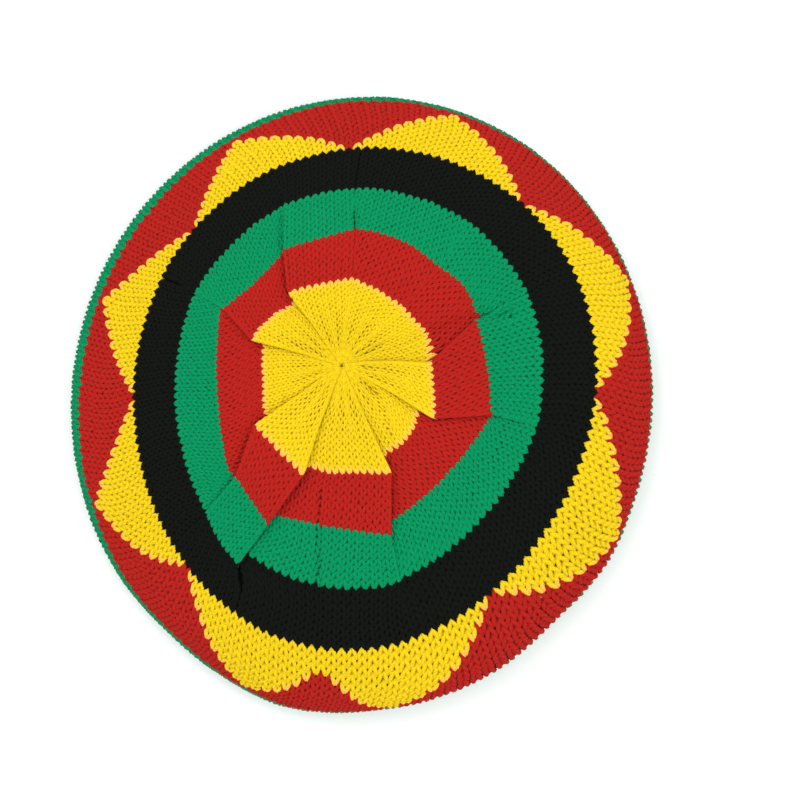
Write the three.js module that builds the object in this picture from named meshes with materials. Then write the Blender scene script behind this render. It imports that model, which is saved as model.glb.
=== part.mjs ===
// A hand-knitted rasta tam, lying crown up on its ribbed head band.
// Millimetres, +Z up, +X to the wearer's right in the view from above, origin under the middle of the outline
// at the surface that the band stands on.
//
// The tam is one fabric. It is described by rings, each a course of the knitting counted out from the gather
// at the top of the crown, and by panels, the flat stretches between the knife pleats that take the spare
// wales in towards the gather. Each stretch of one yarn is a closed wall of its own.
import * as THREE from 'three';
import { mergeVertices } from 'three/addons/utils/BufferGeometryUtils.js';

// Driving dimensions
const TAM_WIDTH = 262;
const TAM_LENGTH = 280;
const CROWN_HEIGHT = 60;
const BAND_HEIGHT = 26;
const KNIT_THICKNESS = 4;
const YARN_CHANGE_GAP = 0.3;
const COURSE_HEIGHT = 3;

// Courses at which the yarn changes, or the side turns into the under side, counted out from the gather
const YELLOW_EDGE = 14;
const RED_EDGE = 21;
const GREEN_EDGE = 29;
const BLACK_EDGE = 37;
const POINTS_EDGE = 48;
const SIDE_EDGE = 55;
const BAND_EDGE = 68;

// Half sizes of the widest ring: its tilt and its neighbours bring the outline to the full width and length
const WIDEST_X = TAM_WIDTH / 2 - 0.9;
const WIDEST_Y = TAM_LENGTH / 2 - 1.4;

// Each row is one ring of the fabric: its course, the centre and half sizes of its plan, how far it lies below
// the crown's height, how much higher its right side and its far side lie than its middle, and how far it
// bulges to the upper right and lower left.
const RINGS = [
  { course: 0, x: -9.8, y: 17.3, halfX: 1.6, halfY: 1.8, drop: 4.5, right: 0, far: 0, bulge: 0 },
  { course: 2, x: -9.6, y: 16.9, halfX: 7, halfY: 7.6, drop: 1.6, right: -0.1, far: 0.1, bulge: 0 },
  { course: 7, x: -8.6, y: 15.0, halfX: 23, halfY: 25, drop: 0, right: -0.2, far: 0.3, bulge: 0.2 },
  { course: 14, x: -7.6, y: 12.7, halfX: 40.8, halfY: 45, drop: 1.6, right: -0.4, far: 0.4, bulge: 0.4 },
  { course: 21, x: -4.6, y: 10.7, halfX: 62.7, halfY: 68.4, drop: 6, right: 0.4, far: 0.4, bulge: 1.8 },
  { course: 29, x: -2.6, y: 7.6, halfX: 84.5, halfY: 90.7, drop: 12.5, right: 1.8, far: -2, bulge: 2.4 },
  { course: 37, x: -0.6, y: 2.2, halfX: 105.2, halfY: 113.2, drop: 21.5, right: 3.6, far: -4.6, bulge: 3 },
  { course: 43, x: 1.6, y: -3.0, halfX: 119.9, halfY: 130.8, drop: 31.6, right: 3, far: -3.6, bulge: 2.6 },
  { course: 48, x: 1.2, y: -0.7, halfX: WIDEST_X - 0.9, halfY: WIDEST_Y + 0.2, drop: 40.5, right: 1.6, far: -1.4, bulge: 2.2 },
  { course: 51, x: -1.5, y: 1.2, halfX: WIDEST_X, halfY: WIDEST_Y, drop: 47, right: 0.4, far: -0.4, bulge: 2.2 },
  { course: 54, x: -1.4, y: 1, halfX: 126, halfY: 133.5, drop: 51.6, right: 0, far: 0, bulge: 2 },
  { course: 58, x: -0.6, y: 0.6, halfX: 114.5, halfY: 121, drop: 52.8, right: 0, far: 0, bulge: 1.2 },
  { course: 63, x: 0, y: 0, halfX: 99, halfY: 104, drop: 47.5, right: 0, far: 0, bulge: 0.6 },
  { course: 68, x: 0, y: 0, halfX: 85.2, halfY: 89.2, drop: 36.5, right: 0, far: 0, bulge: 0 },
];

// Each row is one panel between two pleats: where it starts and ends on the yellow, red and green edges, how
// far that edge arches out between, and the directions of its two pleats at the rim, in degrees clockwise
// from the far side. A panel with no green row meets the green edge on the plain ring. startOver and endOver
// say whether its edge lies over its neighbour (1), under it (-1) or is only a soft corner (0). columns is
// how many grid columns it has.
const PANELS = [
  {
    name: 'far_left', columns: 6, from: -22.5, to: -1, startOver: 1, endOver: 0.2,
    yellow: { startX: -33.4, startY: 51.0, endX: -5.6, endY: 57.6, arch: 0.4 },
    red: { startX: -36.1, startY: 71.4, endX: -4.4, endY: 79.8, arch: 0 },
  },
  {
    name: 'far', columns: 9, from: -1, to: 36, startOver: -0.2, endOver: 0,
    yellow: { startX: -4.8, startY: 57.6, endX: 17.8, endY: 46.2, arch: 1 },
    red: { startX: -3.4, startY: 79.8, endX: 34.6, endY: 64.8, arch: 2 },
  },
  {
    name: 'far_right', columns: 7, from: 36, to: 64, startOver: 0, endOver: -0.8,
    yellow: { startX: 18.4, startY: 45.6, endX: 29.7, endY: 31.4, arch: 0 },
    red: { startX: 35.0, startY: 64.4, endX: 53.0, endY: 42.7, arch: 1.5 },
  },
  {
    name: 'right', columns: 9, from: 64, to: 101, startOver: 0.8, endOver: 1,
    yellow: { startX: 31.1, startY: 18.2, endX: 33.4, endY: -5.4, arch: 0.6 },
    red: { startX: 54.3, startY: 38.2, endX: 58.6, endY: -3.2, arch: 0 },
  },
  {
    name: 'near_right', columns: 14, from: 101, to: 167.5, startOver: -1, endOver: -1,
    yellow: { startX: 23.9, startY: -5.4, endX: 12.6, endY: -20.4, arch: 2.6 },
    red: { startX: 58.0, startY: -4.6, endX: 12.6, endY: -52.0, arch: 0 },
  },
  {
    name: 'near', columns: 10, from: 167.5, to: 213, startOver: 1, endOver: -1,
    yellow: { startX: 11.6, startY: -30.2, endX: -15.4, endY: -30.2, arch: 0 },
    red: { startX: 11.2, startY: -58.4, endX: -37.8, endY: -50.2, arch: 0 },
    green: { startX: 15.6, startY: -81.4, endX: -50.7, endY: -67.6, arch: 0 },
  },
  {
    name: 'near_left', columns: 6, from: 213, to: 233, startOver: 1, endOver: 1,
    yellow: { startX: -28.2, startY: -31.8, endX: -49.2, endY: -10.4, arch: 0 },
    red: { startX: -43.8, startY: -53.0, endX: -57.0, endY: -33.0, arch: 0 },
    green: { startX: -57.2, startY: -71.6, endX: -71.2, endY: -49.6, arch: 0 },
  },
  {
    name: 'left', columns: 14, from: 233, to: 299, startOver: -1, endOver: -1,
    yellow: { startX: -45.2, startY: -2.4, endX: -46.2, endY: 24.2, arch: 0.4 },
    red: { startX: -61.6, startY: -30.4, endX: -64.8, endY: 44.4, arch: 1.8 },
  },
  {
    name: 'far_over_left', columns: 8, from: 299, to: 337.5, startOver: 1, endOver: -1,
    yellow: { startX: -50.2, startY: 30.4, endX: -34.6, endY: 44.0, arch: 2.4 },
    red: { startX: -63.4, startY: 46.0, endX: -37.0, endY: 70.4, arch: 0.6 },
  },
];

// How high a lying-over pleat edge stands above its panel at a course, and how much the panel puffs up
const PLEAT_RELIEF = [
  { course: 0, step: 0.4, puff: 0.2 },
  { course: 4, step: 1.4, puff: 1.0 },
  { course: 14, step: 2.2, puff: 1.8 },
  { course: 21, step: 1.6, puff: 1.6 },
  { course: 29, step: 0.6, puff: 0.8 },
  { course: 35, step: 0, puff: 0 },
];

// The panels are straight between their pleats up to this course, and follow the round of the ring from the
// second one out. The pleats let go of the ring's plan by the third.
const STRAIGHT_UNTIL = 17;
const ROUND_FROM = 33;
const PLEATS_OUT_BY = 35;

// Half the room in plan between one panel and the next
const PLEAT_HALF_DEGREES = 0.4;

// Small drawn-in gathers between the pleats, near the gather
const GATHERS_PER_PANEL = 2;
const GATHER_DEPTH = 0.9;
const GATHER_FADES_AT = 13;

// How many grid columns a point of the zigzag, the red on each side of it, and a plain ring have
const COLUMNS_IN_POINT = 7;
const COLUMNS_BESIDE_POINT = 3;
const RING_COLUMNS = 72;

// The zigzag: each repeat is 20 wales. A point is 19 wales wide on the black edge and one wale at its tip.
const REPEAT_WALES = 20;
const POINT_BASE_WALES = 19;
const POINT_TIP_WALES = 1;
const POINT_COURSES = 10;

// Each row is one repeat of the zigzag: the directions of the red notch before its point, on the black edge,
// and of the point's tip. The knitting is stretched most on the near right, and least beside the back seam,
// which comes up at the fifth notch.
const REPEATS = [
  { notch: -3.5, tip: 15.8 },
  { notch: 42.1, tip: 64.4 },
  { notch: 89.5, tip: 117.9 },
  { notch: 145.0, tip: 174.0 },
  { notch: 189.9, tip: 204.5 },
  { notch: 228.0, tip: 251.0 },
  { notch: 269.6, tip: 291.3 },
  { notch: 311.9, tip: 333.0 },
];

// The grid of the zigzag
const REPEAT_COLUMNS = 2 * COLUMNS_BESIDE_POINT + COLUMNS_IN_POINT;
const ZIGZAG_ROWS = 5;
const TIP_ROW = ZIGZAG_ROWS - 1;

// Half the gap between a yellow point and the red round it, in wales along its sides and in courses at its tip
const HALF_GAP_WALES = 0.06;
const HALF_GAP_COURSES = 0.08;

// The band: two knit wales and two purl wales in turn, drawn in at its lower edge
const BAND = { halfTopX: 84.5, halfTopY: 88.5, halfFootX: 80, halfFootY: 84, bulge: 1.6 };
const BAND_RIBS = 28;
const RIB_DEPTH = 1.1;

const COLOURS = {
  yellow: { color: 0xf2d217, roughness: 0.9, metalness: 0 },
  red: { color: 0xb72820, roughness: 0.9, metalness: 0 },
  green: { color: 0x0c915c, roughness: 0.9, metalness: 0 },
  black: { color: 0x171a16, roughness: 0.92, metalness: 0 },
};

/** A smooth step from 0 at one end of a span to 1 at its other end. */
function smoothStep(value, start, end) {
  const share = Math.min(Math.max((value - start) / (end - start), 0), 1);
  return share * share * (3 - 2 * share);
}

/** The slope of one column of a table at a row, for a smooth curve through all its rows. */
function tableSlope(table, row, column) {
  const before = table[Math.max(row - 1, 0)];
  const after = table[Math.min(row + 1, table.length - 1)];
  return (after[column] - before[column]) / (after.course - before.course);
}

/** Reads one column of a table at any course, on a smooth curve through its rows. */
function readTable(table, column, course) {
  let row = 0;
  while (row < table.length - 2 && course > table[row + 1].course) {
    row += 1;
  }
  const low = table[row];
  const high = table[row + 1];
  const span = high.course - low.course;
  const share = Math.min(Math.max((course - low.course) / span, 0), 1);
  const share2 = share * share;
  const share3 = share2 * share;
  return (2 * share3 - 3 * share2 + 1) * low[column]
    + (share3 - 2 * share2 + share) * span * tableSlope(table, row, column)
    + (3 * share2 - 2 * share3) * high[column]
    + (share3 - share2) * span * tableSlope(table, row + 1, column);
}

/** The point of the smooth fabric at a course and a direction, in degrees clockwise from the far side. */
function ringPoint(course, degrees) {
  const angle = THREE.MathUtils.degToRad(degrees);
  const across = Math.sin(angle);
  const along = Math.cos(angle);
  const bulge = readTable(RINGS, 'bulge', course) * Math.sin(2 * angle);
  return new THREE.Vector3(
    readTable(RINGS, 'x', course) + (readTable(RINGS, 'halfX', course) + bulge) * across,
    readTable(RINGS, 'y', course) + (readTable(RINGS, 'halfY', course) + bulge) * along,
    CROWN_HEIGHT - readTable(RINGS, 'drop', course) + readTable(RINGS, 'right', course) * across
      + readTable(RINGS, 'far', course) * along,
  );
}

/** The direction of a place in a panel, in degrees. A panel stops a little short of the next one's start. */
function panelDegrees(panel, share) {
  const from = panel.from + PLEAT_HALF_DEGREES;
  return from + (panel.to - PLEAT_HALF_DEGREES - from) * share;
}

/** How far a place in a panel stands off the smooth ring in plan, at one of its edges. */
function edgeShift(panel, edge, course, share) {
  const corners = panel[edge];
  if (!corners) {
    return new THREE.Vector2(0, 0);
  }
  const from = ringPoint(course, panelDegrees(panel, 0));
  const to = ringPoint(course, panelDegrees(panel, 1));
  const start = new THREE.Vector2(corners.startX, corners.startY);
  const end = new THREE.Vector2(corners.endX, corners.endY);
  const out = new THREE.Vector2(start.y - end.y, end.x - start.x).normalize();
  start.sub(new THREE.Vector2(from.x, from.y));
  end.sub(new THREE.Vector2(to.x, to.y));
  return start.lerp(end, share).addScaledVector(out, corners.arch * 4 * share * (1 - share));
}

/** How far a place in a panel stands off the smooth ring in plan, at any course. */
function panelShift(panel, course, share) {
  const yellow = edgeShift(panel, 'yellow', YELLOW_EDGE, share);
  if (course <= YELLOW_EDGE) {
    return yellow.multiplyScalar(course / YELLOW_EDGE);
  }
  const red = edgeShift(panel, 'red', RED_EDGE, share);
  if (course <= RED_EDGE) {
    return yellow.lerp(red, (course - YELLOW_EDGE) / (RED_EDGE - YELLOW_EDGE));
  }
  const green = edgeShift(panel, 'green', GREEN_EDGE, share);
  if (course <= GREEN_EDGE) {
    return red.lerp(green, (course - RED_EDGE) / (GREEN_EDGE - RED_EDGE));
  }
  return green.multiplyScalar(1 - smoothStep(course, GREEN_EDGE, PLEATS_OUT_BY));
}

/** The height that pleats, puffed panels and small gathers add at a place in a panel. */
function panelRelief(panel, course, share) {
  const step = readTable(PLEAT_RELIEF, 'step', Math.min(course, ROUND_FROM + 2));
  const puff = readTable(PLEAT_RELIEF, 'puff', Math.min(course, ROUND_FROM + 2));
  const edges = panel.startOver * (1 - share) ** 4 + panel.endOver * share ** 4;
  const gathers = Math.cos(2 * Math.PI * GATHERS_PER_PANEL * share) * smoothStep(course, 1, 4)
    * (1 - smoothStep(course, 4, GATHER_FADES_AT));
  return step * edges + puff * 4 * share * (1 - share) + GATHER_DEPTH * gathers;
}

/** The point of the outer face at a course and a share of the way across one panel. */
function panelPoint(panel, course, share) {
  const start = ringPoint(course, panelDegrees(panel, 0));
  const end = ringPoint(course, panelDegrees(panel, 1));
  const point = start.lerp(end, share);
  const round = ringPoint(course, panelDegrees(panel, share));
  point.lerp(round, smoothStep(course, STRAIGHT_UNTIL, ROUND_FROM));
  const shift = panelShift(panel, course, share);
  point.x += shift.x;
  point.y += shift.y;
  point.z = round.z + panelRelief(panel, course, share);
  return point;
}

/** The direction out of the smooth fabric at a course and a direction. */
function outward(course, degrees) {
  const step = 0.5;
  const along = ringPoint(course + step, degrees).sub(ringPoint(Math.max(course - step, 0), degrees));
  const round = ringPoint(course, degrees + 1).sub(ringPoint(course, degrees - 1));
  return round.cross(along).normalize();
}

/** Builds one closed wall from a grid of outer points and inner points, with the cells that are part of it.
 * The columns close on themselves where wraps is true. Open edges of the kept cells get end faces. */
function buildWall({ rows, columns, wraps, pointAt, keep = () => true }) {
  const positions = [];
  const width = wraps ? columns : columns + 1;
  const side = width * (rows + 1);
  for (const inner of [false, true]) {
    for (let row = 0; row <= rows; row += 1) {
      for (let column = 0; column < width; column += 1) {
        positions.push(...pointAt(row, column, inner).toArray());
      }
    }
  }
  const at = (row, column, inner) => (inner ? side : 0) + row * width + (wraps ? column % columns : column);
  const indices = [];
  const quad = (a, b, c, d) => indices.push(a, b, c, a, c, d);
  const kept = (row, column) => {
    if (row < 0 || row >= rows || (!wraps && (column < 0 || column >= columns))) {
      return false;
    }
    return keep(row, (column + columns) % columns);
  };
  for (let row = 0; row < rows; row += 1) {
    for (let column = 0; column < columns; column += 1) {
      if (!kept(row, column)) {
        continue;
      }
      const outer = [at(row, column), at(row + 1, column), at(row + 1, column + 1), at(row, column + 1)];
      const inner = outer.map((index) => index + side);
      quad(outer[3], outer[2], outer[1], outer[0]);
      quad(inner[0], inner[1], inner[2], inner[3]);
      if (!kept(row - 1, column)) {
        quad(outer[0], inner[0], inner[3], outer[3]);
      }
      if (!kept(row + 1, column)) {
        quad(outer[1], outer[2], inner[2], inner[1]);
      }
      if (!kept(row, column - 1)) {
        quad(outer[0], outer[1], inner[1], inner[0]);
      }
      if (!kept(row, column + 1)) {
        quad(outer[3], inner[3], inner[2], outer[2]);
      }
    }
  }
  return closedGeometry(positions, indices);
}

/** Makes a geometry of points and triangles, without points that no triangle uses. */
function closedGeometry(positions, indices) {
  const loose = new THREE.BufferGeometry();
  loose.setAttribute('position', new THREE.Float32BufferAttribute(positions, 3));
  loose.setIndex(indices);
  const geometry = mergeVertices(loose.toNonIndexed(), 1e-4);
  geometry.computeVertexNormals();
  return geometry;
}

/** Names a mesh and gives it the colour of its yarn. */
function yarnMesh(name, colour, geometry) {
  const mesh = new THREE.Mesh(geometry, new THREE.MeshStandardMaterial(COLOURS[colour]));
  mesh.name = name;
  return mesh;
}

/** The course of a row, with half the gap to the next yarn taken off at both ends. */
function courseAt(row, rows, from, to) {
  const inset = YARN_CHANGE_GAP / 2 / COURSE_HEIGHT;
  const low = from + inset;
  return low + (to - inset - low) * (row / rows);
}

// The grid columns of the crown: the panel and the share of the way across it that each one stands for. A
// panel has a column on both its edges, so its last one and the next panel's first hold the pleat's step.
const CROWN_COLUMNS = PANELS.flatMap((panel) => Array.from(
  { length: panel.columns },
  (_, index) => ({ panel, share: index / (panel.columns - 1) }),
));

/** A point of the crown's outer or inner face, by course and grid column. */
function crownPoint(course, column, inner) {
  const { panel, share } = CROWN_COLUMNS[column];
  const point = panelPoint(panel, course, share);
  if (inner) {
    point.addScaledVector(outward(Math.max(course, 3), panelDegrees(panel, share)), -KNIT_THICKNESS);
  }
  return point;
}

/** One ring of the crown, from one yarn change to the next. */
function crownRing(from, to, rows) {
  return buildWall({
    rows,
    columns: CROWN_COLUMNS.length,
    wraps: true,
    pointAt: (row, column, inner) => crownPoint(courseAt(row, rows, from, to), column, inner),
  });
}

/** The yellow disc: a wall closed over the gather by a fan at its outer and at its inner face. */
function crownCentre() {
  const columns = CROWN_COLUMNS.length;
  const courses = [1, 3, 5.5, 8.5, 11.5];
  courses.push(courseAt(1, 1, 0, YELLOW_EDGE));
  const positions = [];
  const indices = [];
  for (const inner of [false, true]) {
    for (const course of courses) {
      for (let column = 0; column < columns; column += 1) {
        positions.push(...crownPoint(course, column, inner).toArray());
      }
    }
    const tip = ringPoint(0, 0);
    tip.set(RINGS[0].x, RINGS[0].y, CROWN_HEIGHT - RINGS[0].drop - (inner ? KNIT_THICKNESS : 0));
    positions.push(...tip.toArray());
  }
  const side = courses.length * columns + 1;
  const tipIndex = courses.length * columns;
  for (let column = 0; column < columns; column += 1) {
    const next = (column + 1) % columns;
    indices.push(tipIndex, next, column);
    indices.push(side + tipIndex, side + column, side + next);
    for (let row = 0; row < courses.length - 1; row += 1) {
      const a = row * columns + column;
      const b = (row + 1) * columns + column;
      const c = (row + 1) * columns + next;
      const d = row * columns + next;
      indices.push(c, b, a, d, c, a);
      indices.push(side + a, side + b, side + c, side + a, side + c, side + d);
    }
    const rim = (courses.length - 1) * columns;
    indices.push(rim + column, side + rim + next, side + rim + column);
    indices.push(rim + column, rim + next, side + rim + next);
  }
  return closedGeometry(positions, indices);
}

/** A point of the plain part of the fabric, by course and direction. */
function sidePoint(course, degrees, inner) {
  const point = ringPoint(course, degrees);
  if (inner) {
    point.addScaledVector(outward(course, degrees), -KNIT_THICKNESS);
  }
  return point;
}

/** The half width of a yellow point at a course of the zigzag, in wales. */
function pointHalfWales(courseInZigzag) {
  const share = Math.min(courseInZigzag / POINT_COURSES, 1);
  return (POINT_BASE_WALES + (POINT_TIP_WALES - POINT_BASE_WALES) * share) / 2;
}

/** Where a grid column of one repeat lies, in wales from the middle of its yellow point. */
function repeatWale(column, halfWales) {
  if (column < COLUMNS_BESIDE_POINT) {
    const share = column / COLUMNS_BESIDE_POINT;
    return -REPEAT_WALES / 2 + (REPEAT_WALES / 2 - halfWales) * share;
  }
  if (column <= COLUMNS_BESIDE_POINT + COLUMNS_IN_POINT) {
    return halfWales * (2 * (column - COLUMNS_BESIDE_POINT) / COLUMNS_IN_POINT - 1);
  }
  const share = (column - COLUMNS_BESIDE_POINT - COLUMNS_IN_POINT) / COLUMNS_BESIDE_POINT;
  return halfWales + (REPEAT_WALES / 2 - halfWales) * share;
}

/** The course of a row of the zigzag grid: the rows up to the tips, then the last red courses. side is 1 for
 * the red round a point and -1 for the point itself. */
function zigzagCourse(row, side) {
  if (row > TIP_ROW) {
    return courseAt(1, 1, BLACK_EDGE, POINTS_EDGE);
  }
  if (row === TIP_ROW) {
    return BLACK_EDGE + POINT_COURSES + side * HALF_GAP_COURSES;
  }
  return courseAt(0, 1, BLACK_EDGE, POINTS_EDGE) + POINT_COURSES * (row / TIP_ROW);
}

/** A direction between two rows of the repeats, at a place counted in repeats from the first row. */
function directionBetween(kind, place) {
  const whole = Math.floor(place);
  const direction = (index) => REPEATS[(index + REPEATS.length) % REPEATS.length][kind]
    + 360 * Math.floor(index / REPEATS.length);
  return THREE.MathUtils.lerp(direction(whole), direction(whole + 1), place - whole);
}

/** The direction of a wale of one repeat, counted from the middle of its point. The wales are evenly spread
 * from notch to notch on the black edge and from tip to tip at the tips. */
function waleDegrees(repeat, wale, course) {
  const place = repeat + wale / REPEAT_WALES;
  const onBlackEdge = directionBetween('notch', place + 0.5);
  const atTips = directionBetween('tip', place);
  return THREE.MathUtils.lerp(onBlackEdge, atTips, Math.min((course - BLACK_EDGE) / POINT_COURSES, 1));
}

/** A point of the zigzag grid, on the outer or the inner face. */
function zigzagPoint(row, column, inner, side) {
  const repeat = Math.floor(column / REPEAT_COLUMNS);
  const course = zigzagCourse(row, side);
  const halfWales = pointHalfWales(course - BLACK_EDGE) + side * HALF_GAP_WALES;
  const wale = repeatWale(column % REPEAT_COLUMNS, halfWales);
  return sidePoint(course, waleDegrees(repeat, wale, course), inner);
}

/** Whether a grid column of the zigzag lies inside a yellow point. */
function insidePoint(column) {
  const place = column % REPEAT_COLUMNS;
  return place >= COLUMNS_BESIDE_POINT && place < COLUMNS_BESIDE_POINT + COLUMNS_IN_POINT;
}

/** The red part of the zigzag: a ring with a notch for each yellow point. */
function redPoints() {
  return buildWall({
    rows: ZIGZAG_ROWS,
    columns: REPEAT_COLUMNS * REPEATS.length,
    wraps: true,
    pointAt: (row, column, inner) => zigzagPoint(row, column, inner, 1),
    keep: (row, column) => row >= TIP_ROW || !insidePoint(column),
  });
}

/** One yellow point of the zigzag. */
function yellowPoint(index) {
  const first = index * REPEAT_COLUMNS + COLUMNS_BESIDE_POINT;
  return buildWall({
    rows: TIP_ROW,
    columns: COLUMNS_IN_POINT,
    wraps: false,
    pointAt: (row, column, inner) => zigzagPoint(row, first + column, inner, -1),
  });
}

/** A plain ring of the fabric with a row at each of the given courses, the first and last at yarn changes or
 * at a seam line. */
function plainRing(courses) {
  const rows = courses.length - 1;
  return buildWall({
    rows,
    columns: RING_COLUMNS,
    wraps: true,
    pointAt: (row, column, inner) => {
      const end = courseAt(row / rows, 1, courses[0], courses[rows]);
      const course = row === 0 || row === rows ? end : courses[row];
      return sidePoint(course, column * (360 / RING_COLUMNS), inner);
    },
  });
}

/** The head band: a ribbed wall whose foot is flat and which turns in a little towards it. */
function ribBand() {
  const columnsPerRib = 4;
  const columns = BAND_RIBS * columnsPerRib;
  const heights = [BAND_HEIGHT, BAND_HEIGHT / 2, 0];
  return buildWall({
    rows: heights.length - 1,
    columns,
    wraps: true,
    pointAt: (row, column, inner) => {
      const down = row / (heights.length - 1);
      const angle = (2 * Math.PI * column) / columns;
      const raised = column % columnsPerRib < columnsPerRib / 2 ? RIB_DEPTH / 2 : -RIB_DEPTH / 2;
      const out = raised + BAND.bulge * 4 * down * (1 - down) - (inner ? KNIT_THICKNESS : 0);
      const halfX = THREE.MathUtils.lerp(BAND.halfTopX, BAND.halfFootX, down) + out;
      const halfY = THREE.MathUtils.lerp(BAND.halfTopY, BAND.halfFootY, down) + out;
      return new THREE.Vector3(halfX * Math.sin(angle), halfY * Math.cos(angle), heights[row]);
    },
  });
}

const tam = new THREE.Group();
tam.add(yarnMesh('crown_centre', 'yellow', crownCentre()));
tam.add(yarnMesh('red_round', 'red', crownRing(YELLOW_EDGE, RED_EDGE, 3)));
tam.add(yarnMesh('green_round', 'green', crownRing(RED_EDGE, GREEN_EDGE, 2)));
tam.add(yarnMesh('black_round', 'black', crownRing(GREEN_EDGE, BLACK_EDGE, 2)));
tam.add(yarnMesh('red_points', 'red', redPoints()));
for (let index = 0; index < REPEATS.length; index += 1) {
  tam.add(yarnMesh(`yellow_point_${index + 1}`, 'yellow', yellowPoint(index)));
}
tam.add(yarnMesh('green_side', 'green', plainRing([POINTS_EDGE, 50, 52.6, SIDE_EDGE])));
tam.add(yarnMesh('green_under', 'green', plainRing([SIDE_EDGE, 59, 63.5, BAND_EDGE])));
tam.add(yarnMesh('rib_band', 'green', ribBand()));

// The origin is under the middle of the outline, at the foot of the band
const outline = new THREE.Box3().setFromObject(tam);
const middle = outline.getCenter(new THREE.Vector3());
tam.position.set(-middle.x, -middle.y, -outline.min.z);

export default tam;
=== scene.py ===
"""A hand-knitted rasta tam, crown up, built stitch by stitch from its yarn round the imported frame."""

import logging
import math
from dataclasses import dataclass, field
from enum import Enum
from typing import Callable

import bpy
import numpy as np
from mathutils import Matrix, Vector


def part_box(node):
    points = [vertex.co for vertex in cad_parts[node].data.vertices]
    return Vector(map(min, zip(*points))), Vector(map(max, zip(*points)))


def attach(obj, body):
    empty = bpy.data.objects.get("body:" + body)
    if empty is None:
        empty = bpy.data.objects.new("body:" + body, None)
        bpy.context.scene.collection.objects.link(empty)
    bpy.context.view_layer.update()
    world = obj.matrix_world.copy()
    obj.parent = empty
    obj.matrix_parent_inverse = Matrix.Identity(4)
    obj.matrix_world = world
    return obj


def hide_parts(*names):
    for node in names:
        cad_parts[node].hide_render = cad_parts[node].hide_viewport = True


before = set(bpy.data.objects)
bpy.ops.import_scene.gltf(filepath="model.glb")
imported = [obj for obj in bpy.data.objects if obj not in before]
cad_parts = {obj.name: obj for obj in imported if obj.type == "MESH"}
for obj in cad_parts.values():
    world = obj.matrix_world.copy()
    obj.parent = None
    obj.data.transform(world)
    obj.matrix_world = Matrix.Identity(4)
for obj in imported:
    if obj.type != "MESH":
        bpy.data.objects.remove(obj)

log = logging.getLogger("rasta_tam")

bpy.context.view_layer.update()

MM = 0.001

Array = np.ndarray
Pair = tuple[float, float]
Colour = tuple[float, float, float]
# The points of a sheet, and the indices of its quads
Sheet = tuple[Array, Array]
# What reads something of the fabric by panel, course and wale
Reader = Callable[[Array, Array, Array], Array]

# Courses at which the yarn changes, counted out from the gather at the top of the crown
YELLOW_EDGE = 14
RED_EDGE = 21
GREEN_EDGE = 29
BLACK_EDGE = 37
POINTS_EDGE = 48
SIDE_EDGE = 55
BAND_EDGE = 68

CROWN_HEIGHT = 60.0
BAND_HEIGHT = 26.0

# The wales are counted clockwise in the view from above, from the back seam
WALES = 155
REPEAT_WALES = 20


class YarnColour(Enum):
    """The four yarns, by the record's material slot that each one is."""

    YELLOW = "yellow_yarn"
    RED = "red_yarn"
    GREEN = "green_yarn"
    BLACK = "black_yarn"


# Each row is one ring of the fabric: its course, the centre and half sizes of its plan in mm, how far it lies
# below the crown's height, how much higher its right side and its far side lie than its middle, how far it
# bulges to the upper right and lower left, and the sine and cosine of a three-cornered bulge.
RINGS = np.array([
    [0, -9.8, 17.3, 0.7, 0.75, 2.1, 0.0, 0.0, 0.0, 0.0, 0.0],
    [2, -9.6, 16.9, 7.0, 7.6, 1.6, -0.1, 0.1, 0.0, 0.0, 0.0],
    [7, -8.6, 15.0, 23.0, 25.0, 0.0, -0.2, 0.3, 0.2, 0.0, 0.0],
    [14, -7.6, 12.7, 40.6, 44.8, 1.6, -0.4, 0.4, 0.4, 0.0, 0.0],
    [21, -4.8, 10.8, 62.2, 67.9, 6.0, 0.4, 0.4, 1.7, -0.2, -0.3],
    [29, -3.5, 8.2, 84.0, 90.2, 12.5, 1.8, -2.0, 2.2, -0.5, -0.7],
    [37, -0.7, 4.4, 104.5, 113.4, 21.5, 3.6, -4.6, 3.0, -0.8, -1.5],
    [43, 1.5, -1.0, 120.5, 131.5, 31.6, 3.0, -3.6, 2.7, -0.5, -0.9],
    [48, 0.5, 0.0, 130.9, 139.0, 40.5, 1.6, -1.4, 2.4, -0.1, -0.4],
    [51, -2.3, 2.0, 131.7, 138.5, 47.0, 0.4, -0.4, 2.4, -0.1, -0.4],
    [54, -2.0, 1.8, 127.8, 133.6, 51.6, 0.0, 0.0, 2.0, 0.0, -0.2],
    [58, -0.6, 0.6, 114.5, 121.0, 52.8, 0.0, 0.0, 1.2, 0.0, 0.0],
    [63, 0.0, 0.0, 99.0, 104.0, 47.5, 0.0, 0.0, 0.6, 0.0, 0.0],
    [68, 0.0, 0.0, 85.2, 89.2, 36.5, 0.0, 0.0, 0.0, 0.0, 0.0],
])

# Where the rim stands out or in from its rings: the direction and the breadth in degrees, and mm outwards
RIM_BULGES = ((60.0, 30.0, -0.9), (195.0, 11.0, 2.3), (121.0, 8.0, 1.2), (138.0, 9.0, -1.4),
              (222.0, 9.0, -1.1))
# The courses between which those bulges rise, and between which they fade
RIM_RISES = (41, 48)
RIM_FADES = (53, 60)

# How high a lying-over pleat edge stands above its panel at a course, and how much the panel puffs up
PLEAT_RELIEF = np.array([
    [0, 0.2, 0.1],
    [4, 0.4, 0.4],
    [14, 1.1, 0.8],
    [21, 1.0, 0.8],
    [27, 0.35, 0.3],
    [31, 0.0, 0.0],
])

# The narrowest that a wale is drawn in to at a course, in mm. What does not fit is folded into the pleats.
NARROWEST_WALE = np.array([
    [0, 0.90],
    [2, 1.05],
    [4, 1.50],
    [7, 2.35],
    [14, 3.30],
    [21, 3.45],
    [29, 3.30],
    [37, 3.00],
])

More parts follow.
